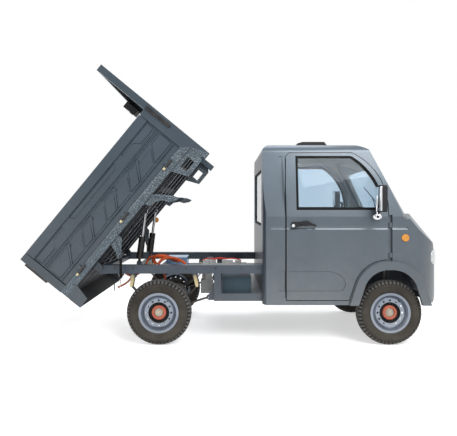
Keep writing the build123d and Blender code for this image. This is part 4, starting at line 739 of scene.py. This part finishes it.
def make_tyres():
    """Four tyres, each on its wheel: one is modelled and the others are its copies."""
    carcass = tyre_ring(CARCASS_OUTSIDE, CARCASS_INSIDE)
    settle(carcass)
    band = tyre_ring(BAND_OUTSIDE, BAND_INSIDE)
    pitch = tread_pitch()
    rows = [copied(pitch) for _ in range(LUG_ROWS)]
    for index, row in enumerate(rows):
        row.data.transform(Matrix.Rotation(index * math.tau / len(rows), 4, "Y"))
    bpy.data.objects.remove(pitch)
    tread = joined(rows)
    settle(tread)
    settle(band)
    for place, _, centre, body in wheels("tyre"):
        move = Matrix.Translation(centre)
        tyre = copied(carcass, move)
        done(tyre, f"tyre_carcass_{place}", body, "tyre", replaces=[f"tyre_{place}"])
        # The lugs' paler rubber is a painted highlight.
        done(copied(tread, move), f"tyre_lugs_{place}", body, "tyre", "lug_rubber_highlight")
        # The near-black band between the lugs is painted shade.
        done(copied(band, move), f"tyre_tread_{place}", body, "tyre", "rubber")
    for piece in (carcass, tread, band):
        bpy.data.objects.remove(piece)


# Wheel centres: profiles of radius and distance out from the wheel's middle
RECESS_PROFILE = (
    (0.0450, 0.0103), (0.0450, 0.0118), (0.0860, 0.0118), (0.0868, 0.0330), (0.0877, 0.0330),
    (0.0877, 0.0103), (0.0450, 0.0103),
)
RING_PROFILE = (
    (0.0370, 0.0263), (0.0370, 0.0340), (0.0400, 0.0372), (0.0440, 0.0380), (0.0530, 0.0380),
    (0.0580, 0.0350), (0.0600, 0.0290), (0.0600, 0.0200), (0.0560, 0.0170), (0.0450, 0.0170),
    (0.0450, 0.0263), (0.0370, 0.0263),
)
CAP_PROFILE = (
    (0.0, 0.0455), (0.0165, 0.0455), (0.0165, 0.0264), (0.0360, 0.0264), (0.0360, 0.0310),
    (0.0310, 0.0330), (0.0290, 0.0390), (0.0230, 0.0410), (0.0210, 0.0470), (0.0120, 0.0500),
    (0.0, 0.0500),
)
NUTS = 6
NUT_CIRCLE = 0.074
NUT_OUT = (0.0115, 0.024)
NUT_RADIUS = 0.0085
VALVE_ANGLE = math.radians(52)
VALVE_CIRCLE = 0.126
VALVE_OUT = (0.012, 0.046)
VALVE_LEAN = 0.006
VALVE_RADIUS = 0.0045


def spoke(angle):
    """The direction from a wheel's centre at this angle."""
    return Vector((math.cos(angle), 0, math.sin(angle)))


def make_hubs():
    """The recess, black as painted shade on the drum face, with its nuts, and the orange bearing
    ring and cast centre of each wheel.
    """
    for place, side, centre, body in wheels("rim"):
        out = Vector((0, side, 0))
        parts = [spun(outward(RECESS_PROFILE, side), centre)]
        for index in range(NUTS):
            spot = centre + NUT_CIRCLE * spoke((index + 0.5) * math.tau / NUTS)
            foot, top = (spot + out * reach for reach in NUT_OUT)
            parts.append(cylinder(foot, top, NUT_RADIUS, sides=6, bevel=0.001))
        done(joined(parts), f"hub_recess_{place}", body, "rim_metal", "recess_painted_shade")
        ring = spun(outward(RING_PROFILE, side), centre)
        done(ring, f"hub_ring_{place}", body, "rim_metal", "hub_orange")
        cap = spun(outward(CAP_PROFILE, side), centre, steps=24)
        done(cap, f"hub_cap_{place}", body, "rim_metal", "hub_casting")
        spot = centre + spoke(VALVE_ANGLE) * VALVE_CIRCLE
        foot, top = (spot + out * reach for reach in VALVE_OUT)
        top -= spoke(VALVE_ANGLE) * VALVE_LEAN
        valve = cylinder(foot, top, VALVE_RADIUS, sides=10, bevel=0.001)
        done(valve, f"tyre_valve_{place}", body, "rim_metal", "rubber")


# Window seals
SEAL_WIDTH = 0.020
SEAL_STAND = 0.003
SEAL_BEVEL = 0.0015
EDGE_FACING = 0.5


def make_seal(node, name, body, keep):
    """A rubber band that follows the edge of a pane, made from the edge's own faces."""
    band = chosen_faces(node, keep)
    modifier(band, "SOLIDIFY", thickness=SEAL_WIDTH, offset=-1.0, use_even_offset=True)
    modifier(band, "DISPLACE", strength=SEAL_STAND, mid_level=0.0)
    rounded(band, SEAL_BEVEL)
    done(band, name, body, "rubber")


def make_window_seals():
    """Black seals round the doors' windows and the rear window."""
    for name, _ in SIDES:
        make_seal(
            f"door_glass_{name}", f"door_window_seal_{name}", f"door_{name}",
            lambda face: abs(face.normal.y) < EDGE_FACING,
        )
    make_seal(
        "rear_window", "rear_window_seal", "chassis",
        lambda face: abs(face.normal.x) < EDGE_FACING,
    )


# Load bed: pieces are modelled on the level bed and tipped with it
HINGE = Vector((-1.143, 0, 0.646))
TIP_ANGLE = math.radians(50.6)
TIPPED = (
    Matrix.Translation(HINGE) @ Matrix.Rotation(-TIP_ANGLE, 4, "Y") @ Matrix.Translation(-HINGE)
)
LEVEL = TIPPED.inverted()


def on_bed(piece, name, slot, material=None):
    """Finishes a piece that was modelled on the level bed."""
    settle(piece)
    piece.data.transform(TIPPED)
    return done(piece, name, "bed", slot, material)


def on_level_bed(face):
    """Where a face's middle and normal are when the bed is level."""
    return LEVEL @ face.calc_center_median(), LEVEL.to_3x3() @ face.normal


RAIL_TOP = 0.757
RAIL_INNER = 0.54
UNDERSIDE_TOP = 0.78
STEEP = 0.5
SIDE_FACING = 0.6
BACK_FACING = 0.4


def make_bed_skins():
    """Studded plate on the lower rails and legs, and near-black paint under the bed and inside the
    rear skirt as painted shade.
    """
    def on_rail(face):
        place, normal = on_level_bed(face)
        return place.z < RAIL_TOP and abs(place.y) > RAIL_INNER and normal.z > -STEEP

    def under(face):
        place, normal = on_level_bed(face)
        return place.z < UNDERSIDE_TOP and (normal.z < -STEEP or abs(place.y) < RAIL_INNER)

    def inner_skirt(face):
        _, normal = on_level_bed(face)
        return abs(face.normal.y) < SIDE_FACING and normal.x > -BACK_FACING

    # The near-black layers under the bed and inside the rear skirt are painted shade.
    for node, name, material, keep in (
        ("bed_frame", "studded_rails", "studded_plate", on_rail),
        ("bed_frame", "bed_frame_underside", "painted_underside_shade", under),
        ("bed_floor", "bed_floor_underside", "painted_underside_shade", under),
        ("rear_skirt", "rear_skirt_inside", "painted_underside_shade", inner_skirt),
    ):
        skin(node, name, "bed", "bed_paint", material, keep)


# Fittings of the bed
RUNNERS_Y = (-0.46, -0.225, -0.02, 0.20, 0.42)
RUNNER_X = (-1.40, 0.12)
RUNNER_Z = (0.6812, 0.6862)
RUNNER_WIDTH = 0.010
GATE_HINGES_X = (-1.220, -0.655, -0.094)
GATE_HINGE_Y, GATE_HINGE_Z = 0.625, 0.737
GATE_HINGE_LENGTH = 0.090
GATE_PIN_RADIUS, GATE_HEAD_RADIUS = 0.0105, 0.0110
GATE_HEAD_LENGTH = 0.018
HEAD_OVERLAP = 0.3
SCREWS_X = (-1.36, -1.08, -0.80, -0.52, -0.24, 0.04)
SCREW_Y, SCREW_Z = 0.6184, 0.700
SCREW_RADIUS, SCREW_HEIGHT = 0.006, 0.004
LEG_PLATE_OUT = (0.602, 0.606)
LEG_PLATES = (
    # corners in x and z
    ((-0.478, 0.688), (-0.373, 0.689), (-0.304, 0.596), (-0.269, 0.538), (-0.254, 0.490),
     (-0.290, 0.497), (-0.338, 0.537), (-0.357, 0.584), (-0.409, 0.628), (-0.465, 0.638)),
    ((-0.915, 0.688), (-0.809, 0.688), (-0.817, 0.644), (-0.886, 0.594), (-0.941, 0.546),
     (-0.970, 0.562), (-0.935, 0.614)),
)
CLOSING_PLATE = ((-1.470, -0.600, 0.6830), (-1.190, 0.600, 0.6862))
MARKER_X, MARKER_Z = -0.679, 0.658
MARKER_Y = (0.598, 0.6122)
MARKER_RADIUS = 0.030
MARKER_BRACKET = ((-0.694, 0.6125, 0.640), (-0.664, 0.6180, 0.700))


def make_gate_hinges(name, side):
    """The hinge pins of one side gate, with pale heads."""
    pins, heads = [], []
    end = Vector((GATE_HEAD_LENGTH, 0, 0))
    for x in GATE_HINGES_X:
        low = Vector((x - GATE_HINGE_LENGTH / 2, side * GATE_HINGE_Y, GATE_HINGE_Z))
        high = low + Vector((GATE_HINGE_LENGTH, 0, 0))
        pins.append(cylinder(low, high, GATE_PIN_RADIUS, sides=16, bevel=0.002))
        heads.append(
            cylinder(low - end, low + end * HEAD_OVERLAP, GATE_HEAD_RADIUS, sides=16, bevel=0.003)
        )
    on_bed(joined(pins), f"gate_hinge_pins_{name}", "dark_metal")
    on_bed(joined(heads), f"gate_hinge_heads_{name}", "cream_metal")


def screw_row(side, places, height, radius, bevel):
    """Hexagonal heads that stand out from these places."""
    return joined([
        cylinder(place, place + Vector((0, side * height, 0)), radius, sides=6, bevel=bevel)
        for place in places
    ])


def make_bed_fittings():
    """Runners under the bed, hinge pins of the side gates, leg plates and the far side marker."""
    low_x, high_x = RUNNER_X
    low_z, high_z = RUNNER_Z
    runners = [
        cube((low_x, y, low_z), (high_x, y + RUNNER_WIDTH, high_z), bevel=0.001)
        for y in RUNNERS_Y
    ]
    # The runners' paler paint is a painted highlight.
    on_bed(joined(runners), "underfloor_runners", "bed_paint", "painted_edge_highlight")
    for name, side in SIDES:
        make_gate_hinges(name, side)
        places = [Vector((x, side * SCREW_Y, SCREW_Z)) for x in SCREWS_X]
        screws = screw_row(side, places, SCREW_HEIGHT, SCREW_RADIUS, bevel=0.0008)
        on_bed(screws, f"rail_screws_{name}", "dark_metal")
    foot, top = ((MARKER_X, y, MARKER_Z) for y in MARKER_Y)
    marker = cylinder(foot, top, MARKER_RADIUS, sides=24, bevel=0.004)
    on_bed(marker, "far_side_marker", "amber_lens")
    leg_plates = [
        plate(outline, *sorted(side * out for out in LEG_PLATE_OUT))
        for outline in LEG_PLATES
        for _, side in SIDES
    ]
    on_bed(joined(leg_plates), "fender_leg_plates", "bed_paint", "studded_plate")
    # The closing plate's near-black colour is painted shade under the bed.
    on_bed(cube(*CLOSING_PLATE, bevel=0.001), "rear_closing_plate", "bed_paint", "painted_underside_shade")
    on_bed(cube(*MARKER_BRACKET, bevel=0.001), "far_marker_bracket", "dark_metal")


# Work lamp: profiles of radius and distance out of its face
LAMP_FACE = Matrix.Translation((0.0625, 0.470, 1.609)) @ Matrix.Rotation(math.pi / 2, 4, "Z")
LENS_PROFILE = (
    (0.0, 0.004), (0.030, 0.0035), (0.044, 0.001), (0.044, -0.002), (0.0, -0.002),
)
LAMP_RING_PROFILE = (
    (0.044, -0.002), (0.044, 0.006), (0.048, 0.009), (0.054, 0.006), (0.054, -0.002),
    (0.044, -0.002),
)


def make_work_lamp():
    """The lens and ring on the face of the work lamp."""
    for name, profile, slot, material in (
        ("work_lamp_lens", LENS_PROFILE, "lamp_lens", "lamp_lens"),
        ("work_lamp_ring", LAMP_RING_PROFILE, "steel", "chrome"),
    ):
        piece = spun(profile, (0, 0, 0), steps=40)
        settle(piece)
        piece.data.transform(LAMP_FACE)
        on_bed(piece, name, slot, material)


# Seats
CUSHION_CUTS = 7
CHANNELS = 3.5
CHANNEL_DEPTH, CHANNEL_POWER = 0.06, 6
CROWN, CROWN_POWER = 0.35, 4
SEAT_OUT = (0.006, 0.497)
BASE_X, BASE_Z = (0.352, 0.736), (0.708, 0.802)
BACK_X, BACK_Z = (-0.036, 0.036), (0.0, 0.480)
BACK_FOOT = (0.366, 0, 0.806)
BACK_LEAN = math.radians(-5)


def cushion(side, x, out, z):
    """A crowned cushion with rounded corners and sewn channels across it."""
    piece = side_block(side, x, out, z)
    edit(piece)
    bpy.ops.mesh.select_all(action="SELECT")
    bpy.ops.mesh.subdivide(number_cuts=CUSHION_CUTS)
    half = Vector((x[1] - x[0], out[1] - out[0], z[1] - z[0])) / 2
    thin = min(range(3), key=lambda axis: half[axis])
    along, over = (axis for axis in range(3) if axis != thin)
    mesh = bmesh.from_edit_mesh(piece.data)
    for vertex in mesh.verts:
        edge = max(abs(vertex.co[axis] / half[axis]) for axis in (along, over))
        vertex.co[thin] *= 1 - CROWN * edge ** CROWN_POWER
        channel = max(0.0, math.cos(vertex.co[along] / half[along] * math.pi * CHANNELS))
        flat = 1 - edge ** CROWN_POWER
        vertex.co[thin] *= 1 - CHANNEL_DEPTH * channel ** CHANNEL_POWER * flat
    bmesh.update_edit_mesh(piece.data)
    leave_edit()
    modifier(piece, "SUBSURF", levels=2, render_levels=2)
    settle(piece)
    return piece


def make_seats():
    """Two padded seats side by side, each a cushion and a leaning back."""
    for name, side in SIDES:
        base = cushion(side, BASE_X, SEAT_OUT, BASE_Z)
        back = cushion(side, BACK_X, SEAT_OUT, BACK_Z)
        back.data.transform(Matrix.Translation(BACK_FOOT) @ Matrix.Rotation(BACK_LEAN, 4, "Y"))
        for piece, kind in ((base, "cushion"), (back, "back")):
            made = done(piece, f"seat_{kind}_{name}", "chassis", "seat_cover")
    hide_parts("seat_bench")


# Cab: trim and edges
TRIM_X = (0.30, 1.50)
TRIM_LOW = 0.9
TRIM_OUT = 0.602
INWARD, DOWNWARD = 0.3, 0.6
REARWARD = 0.7
GAP_X = (0.4213, 0.4268)
GAP_OUT = (0.590, 0.6062)
GAP_Z = (0.400, 1.560)


def make_cab_trim():
    """Pale trim on the inner faces of the cab's pillars and roof."""
    def inside(face):
        place = face.calc_center_median()
        reach = abs(place.y)
        in_cab = TRIM_X[0] < place.x < TRIM_X[1] and place.z > TRIM_LOW and reach < TRIM_OUT
        inward = face.normal.y * place.y < -INWARD * reach
        return in_cab and (inward or face.normal.z < -DOWNWARD)

    for node in ("cab_pillars", "cab_roof"):
        skin(node, f"{node}_trim", "chassis", "body_paint", "cab_trim", inside)


def make_cab_edges():
    """Painted shade: a darker paint over the cab's rear wall, and black rubber strips in the
    doors' rear gaps.
    """
    # The darker frame paint over the rear wall is painted shade.
    skin(
        "cab_rear_panel", "cab_rear_shade", "chassis", "body_paint", "frame_paint",
        lambda face: face.normal.x < -REARWARD,
    )
    for name, side in SIDES:
        # A black rubber strip in each door's rear gap: painted shade in the gap.
        strip = side_block(side, GAP_X, GAP_OUT, GAP_Z, bevel=0.001)
        done(strip, f"door_gap_shade_strip_{name}", "chassis", "rubber")


# Doors: locks, handles and mirrors, with profiles of radius and distance out
LOCK_X, LOCK_Z = 0.484, 1.006
LOCK_OUT = 0.6365
LOCK_PROFILE = (
    (0.0, 0.002), (0.006, 0.002), (0.007, 0.0), (0.013, 0.0), (0.013, -0.012), (0.0, -0.012),
)
HANDLE_X, HANDLE_Z = 0.590, 1.024
PALM_OUT = (0.6055, 0.634)
PALM_RADIUS = 0.043
PALM_HEIGHT = 0.55
BEZEL_X, BEZEL_OUT, BEZEL_Z = (1.1545, 1.1725), (0.656, 0.7625), (1.130, 1.325)
MIRROR_X, MIRROR_OUT, MIRROR_Z = (1.1525, 1.1550), (0.664, 0.754), (1.140, 1.315)
MIRROR_FOOT = (1.176, 0, 1.079)
FOOT_STRETCH = (1.3, 1.0, 0.8)
FOOT_PROFILE = (
    (0.0, 0.646), (0.012, 0.646), (0.014, 0.640), (0.028, 0.636), (0.030, 0.612), (0.0, 0.612),
)
PIVOT_PROFILE = ((0.0, 0.6485), (0.010, 0.6475), (0.012, 0.6440), (0.0, 0.6440))
POST_POINTS = (
    # x, distance out, z
    (1.176, 0.640, 1.090), (1.158, 0.668, 1.120), (1.151, 0.690, 1.180), (1.155, 0.694, 1.250),
)
POST_RADIUS = 0.0065


def handle_palm(side):
    """The flattened round dish behind a door handle."""
    foot, top = ((HANDLE_X, y, HANDLE_Z) for y in sorted(side * out for out in PALM_OUT))
    palm = cylinder(foot, top, PALM_RADIUS, sides=40, bevel=0.008)
    settle(palm)
    palm.data.transform(
        Matrix.Translation((0, 0, HANDLE_Z))
        @ Matrix.Diagonal((1, 1, PALM_HEIGHT, 1))
        @ Matrix.Translation((0, 0, -HANDLE_Z))
    )
    return palm


def make_door_fittings():
    """Chrome locks, handle palms, mirror faces and feet on both doors."""
    for name, side in SIDES:
        lock = spun(outward(LOCK_PROFILE, side, LOCK_OUT), (LOCK_X, 0, LOCK_Z), steps=24)
        palm = handle_palm(side)
        bezel = side_block(side, BEZEL_X, BEZEL_OUT, BEZEL_Z, bevel=0.006, segments=3)
        face = side_block(side, MIRROR_X, MIRROR_OUT, MIRROR_Z, bevel=0.001)
        foot = spun(outward(FOOT_PROFILE, side), MIRROR_FOOT, steps=32)
        foot.scale = FOOT_STRETCH
        pivot = spun(outward(PIVOT_PROFILE, side), MIRROR_FOOT, steps=24)
        post = tube([(x, side * out, z) for x, out, z in POST_POINTS], POST_RADIUS, sides=8)
        for piece, kind, slot, material in (
            (lock, "door_lock", "steel", "chrome"),
            (palm, "handle_palm", "black_plastic", None),
            (bezel, "mirror_bezel", "steel", "chrome"),
            (face, "mirror_glass", "steel", "chrome"),
            (foot, "mirror_foot", "steel", "chrome"),
            (pivot, "mirror_pivot", "black_plastic", None),
            (post, "mirror_post", "steel", "chrome"),
        ):
            done(piece, f"{kind}_{name}", f"door_{name}", slot, material)


# Wipers: points by how far they stand off the windscreen, how far up it and how far across
SCREEN_FOOT, SCREEN_HEAD = Vector((1.520, 0, 1.101)), Vector((1.284, 0, 1.530))
WIPER_STAND = 0.013
WIPERS_Y = (0.02, 0.40)
ARM_ENDS = ((1.0, -0.02, 0.0), (1.1, 0.17, -0.13))
BLADE_ENDS = ((0.85, 0.04, -0.23), (0.85, 0.29, -0.05))
ARM_RADIUS, ARM_BOW = 0.005, 0.3
BLADE_RADIUS, BLADE_BOW = 0.0045, 0.1
PIVOT_RADIUS, PIVOT_REACH = 0.012, (-0.9, 0.3)


def make_wipers():
    """Two wipers parked low on the windscreen."""
    up = (SCREEN_HEAD - SCREEN_FOOT).normalized()
    out = Vector((up.z, 0, -up.x)) * WIPER_STAND

    def rod(ends, y, radius, bow):
        start, end = (
            SCREEN_FOOT + out * stand + up * rise + Vector((0, y + across, 0))
            for stand, rise, across in ends
        )
        parts.append(tube((start, (start + end) / 2 + out * bow, end), radius, sides=6))
        return start

    parts = []
    for y in WIPERS_Y:
        pivot = rod(ARM_ENDS, y, ARM_RADIUS, ARM_BOW)
        rod(BLADE_ENDS, y, BLADE_RADIUS, BLADE_BOW)
        low, high = (pivot + out * reach for reach in PIVOT_REACH)
        parts.append(cylinder(low, high, PIVOT_RADIUS, sides=16, bevel=0.002))
    done(joined(parts), "wipers", "chassis", "black_plastic")


WIRES = (
    # name, finish, radius, points in x, y, z
    ("battery_lead_high", "orange_sheath", 0.016,
     ((-0.700, -0.300, 0.640), (-0.735, -0.330, 0.690), (-0.690, -0.360, 0.728),
      (-0.600, -0.360, 0.722), (-0.540, -0.330, 0.690), (-0.500, -0.300, 0.668))),
    ("battery_lead_low", "orange_sheath", 0.013,
     ((-0.690, -0.380, 0.620), (-0.650, -0.390, 0.700), (-0.560, -0.380, 0.716),
      (-0.480, -0.350, 0.690), (-0.430, -0.340, 0.650))),
    ("motor_lead_rear", "orange_sheath", 0.010,
     ((-1.010, -0.300, 0.560), (-0.990, -0.330, 0.585), (-0.950, -0.340, 0.555),
      (-0.900, -0.340, 0.540), (-0.860, -0.330, 0.560), (-0.800, -0.300, 0.600))),
    ("motor_lead_loop", "orange_sheath", 0.008,
     ((-1.040, -0.330, 0.440), (-0.990, -0.340, 0.460), (-0.935, -0.340, 0.500),
      (-0.900, -0.340, 0.560), (-0.860, -0.330, 0.590))),
    ("motor_lead_mid", "orange_sheath", 0.009,
     ((-0.620, -0.360, 0.620), (-0.625, -0.370, 0.570), (-0.610, -0.360, 0.520))),
    ("pump_lead", "orange_sheath", 0.009,
     ((-0.350, -0.380, 0.620), (-0.352, -0.390, 0.570), (-0.330, -0.370, 0.510))),
    ("battery_lead_front", "orange_sheath", 0.007,
     ((0.020, -0.420, 0.590), (0.060, -0.425, 0.578), (0.120, -0.425, 0.585),
      (0.150, -0.420, 0.600))),
    ("relay_lead_one", "red_wire", 0.0045,
     ((-0.290, -0.210, 0.668), (-0.240, -0.220, 0.690), (-0.180, -0.230, 0.684),
      (-0.120, -0.210, 0.694), (-0.060, -0.220, 0.680), (0.000, -0.210, 0.688),
      (0.070, -0.220, 0.668))),
    ("relay_lead_two", "red_wire", 0.0045,
     ((-0.210, -0.190, 0.664), (-0.150, -0.180, 0.682), (-0.090, -0.190, 0.672),
      (-0.030, -0.180, 0.684), (0.050, -0.190, 0.670))),
    ("lamp_wire_pale", "pale_wire", 0.003,
     ((-1.020, -0.420, 0.600), (-0.995, -0.430, 0.540), (-0.985, -0.430, 0.480),
      (-1.010, -0.430, 0.430))),
    ("lamp_wire_dark", "black_plastic", 0.004,
     ((-1.060, -0.440, 0.600), (-1.040, -0.450, 0.500), (-1.035, -0.450, 0.430))),
)
WIRE_SLOTS = {"red_wire": "rubber", "pale_wire": "rubber"}
GIVING_LEADS = ("battery_lead_high", "battery_lead_low", "relay_lead_one", "relay_lead_two")


def make_wiring():
    """Leads along the frame, clipped at both ends; the leads in GIVING_LEADS get meshes of their
    own.
    """
    for name, finish, radius, points in WIRES:
        slot = WIRE_SLOTS.get(finish, finish)
        lead = done(tube(points, radius, sides=8), name, "chassis", slot, finish)
        if name in GIVING_LEADS:
            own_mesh(lead)


# Bolts of the frame's rails and bright joints of the torque rods
BOLTS_X = (-1.02, -0.86, -0.41, -0.16, 0.06, 0.20)
BOLT_Y, BOLT_Z = 0.521, 0.640
BOLT_RADIUS, BOLT_HEIGHT = 0.008, 0.006
JOINT_PROFILE = ((0.0, 0.010), (0.008, 0.008), (0.011, 0.002), (0.010, 0.0), (0.0, 0.0))
JOINT_INSET_X, JOINT_INSET_Z = 0.016, 0.020


def make_small_chassis_parts():
    """Bolts along the frame's rails and bright joints at the torque rods' ends."""
    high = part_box("torque_rods")[1]
    for name, side in SIDES:
        places = [Vector((x, side * BOLT_Y, BOLT_Z)) for x in BOLTS_X]
        bolts = screw_row(side, places, BOLT_HEIGHT, BOLT_RADIUS, bevel=0.001)
        done(bolts, f"rail_bolts_{name}", "chassis", "dark_metal")
        place = (high.x - JOINT_INSET_X, side * high.y, high.z - JOINT_INSET_Z)
        joint = spun(outward(JOINT_PROFILE, side), place, steps=24)
        done(joint, f"torque_rod_joint_{name}", "chassis", "steel", "chrome")


# Floor, light and world
WHITE = (1.0, 1.0, 1.0, 1)
FLOOR_SIZE, FLOOR_Z = 60, -0.0005
SHADOW_REACH = (2.0, 3.4)
NEAR_GLOW, FAR_GLOW = 0.5, 1.0
NEAR_TONE, FAR_TONE = 0.92, 0.0
SHADE_LIGHT, SEEN_LIGHT = 0.55, 1.0
STUDIO_MIDDLE = Vector((0, 0, 0.8))
LAMPS = (
    # name, place, size, power, colour
    ("key", (2.5, -4.5, 4.5), 3.0, 260, (1, 1, 1)),
    ("fill", (-4.5, -3.0, 2.5), 3.0, 90, (1, 1, 1)),
    ("top", (0, 1.0, 6.0), 4.0, 160, (0.85, 0.92, 1.0)),
)


def ray_mask(tree, *kinds):
    """Puts out 1 for rays of these kinds and 0 for the others."""
    path = tree.nodes.new("ShaderNodeLightPath")
    mask = path.outputs[kinds[0]]
    for kind in kinds[1:]:
        either = add_node(tree, "ShaderNodeMath", operation="MAXIMUM")
        tree.links.new(mask, either.inputs[0])
        tree.links.new(path.outputs[kind], either.inputs[1])
        mask = either.outputs[0]
    return mask


def make_floor():
    """A floor that keeps the truck's shadow near it and is plain white further out."""
    bpy.ops.object.select_all(action="DESELECT")
    bpy.ops.mesh.primitive_plane_add(size=FLOOR_SIZE, location=(0, 0, FLOOR_Z))
    floor = bpy.context.active_object
    floor.name = "studio_floor"
    material = bpy.data.materials.new("studio_floor")
    material.use_nodes = True
    tree = material.node_tree
    shader = tree.nodes["Principled BSDF"]
    shader.inputs["Roughness"].default_value = 0.9
    shader.inputs["Specular IOR Level"].default_value = 0.0
    shader.inputs["Emission Color"].default_value = WHITE
    place = tree.nodes.new("ShaderNodeTexCoord")
    distance = add_node(tree, "ShaderNodeVectorMath", operation="LENGTH")
    tree.links.new(place.outputs["Object"], distance.inputs[0])
    fades = []
    for near, far in ((NEAR_GLOW, FAR_GLOW), (NEAR_TONE, FAR_TONE)):
        fade = add_node(
            tree, "ShaderNodeMapRange",
            {"From Min": SHADOW_REACH[0], "From Max": SHADOW_REACH[1], "To Min": near,
             "To Max": far},
            interpolation_type="SMOOTHSTEP",
        )
        tree.links.new(distance.outputs["Value"], fade.inputs["Value"])
        fades.append(fade.outputs["Result"])
    glow = add_node(tree, "ShaderNodeMath", operation="MULTIPLY")
    tree.links.new(ray_mask(tree, "Is Camera Ray", "Is Glossy Ray"), glow.inputs[0])
    tree.links.new(fades[0], glow.inputs[1])
    tree.links.new(glow.outputs[0], shader.inputs["Emission Strength"])
    tree.links.new(fades[1], shader.inputs["Base Color"])
    floor.data.materials.append(material)


def make_world():
    """Plain light from all round, white where the camera, metal or glass looks at it."""
    world = bpy.data.worlds.new("studio")
    bpy.context.scene.world = world
    world.use_nodes = True
    tree = world.node_tree
    background = tree.nodes["Background"]
    background.inputs["Color"].default_value = WHITE
    strength = add_node(
        tree, "ShaderNodeMapRange", {"To Min": SHADE_LIGHT, "To Max": SEEN_LIGHT}
    )
    seen = ray_mask(tree, "Is Camera Ray", "Is Transmission Ray", "Is Glossy Ray")
    tree.links.new(seen, strength.inputs["Value"])
    tree.links.new(strength.outputs["Result"], background.inputs["Strength"])


def make_lamps():
    """Soft square lamps that face the truck."""
    for name, place, size, power, colour in LAMPS:
        data = bpy.data.lights.new(name, "AREA")
        data.size = size
        data.energy = power
        data.color = colour
        lamp = linked(name, data)
        lamp.location = place
        aim = STUDIO_MIDDLE - Vector(place)
        lamp.rotation_euler = aim.to_track_quat("-Z", "Y").to_euler()


make_camera()
dress_frame()
make_tyres()
make_hubs()
make_window_seals()
make_bed_skins()
make_bed_fittings()
make_work_lamp()
make_seats()
make_cab_trim()
make_cab_edges()
make_door_fittings()
make_wipers()
make_wiring()
make_small_chassis_parts()
make_floor()
make_world()
make_lamps()
bpy.context.scene.view_settings.view_transform = "Standard"
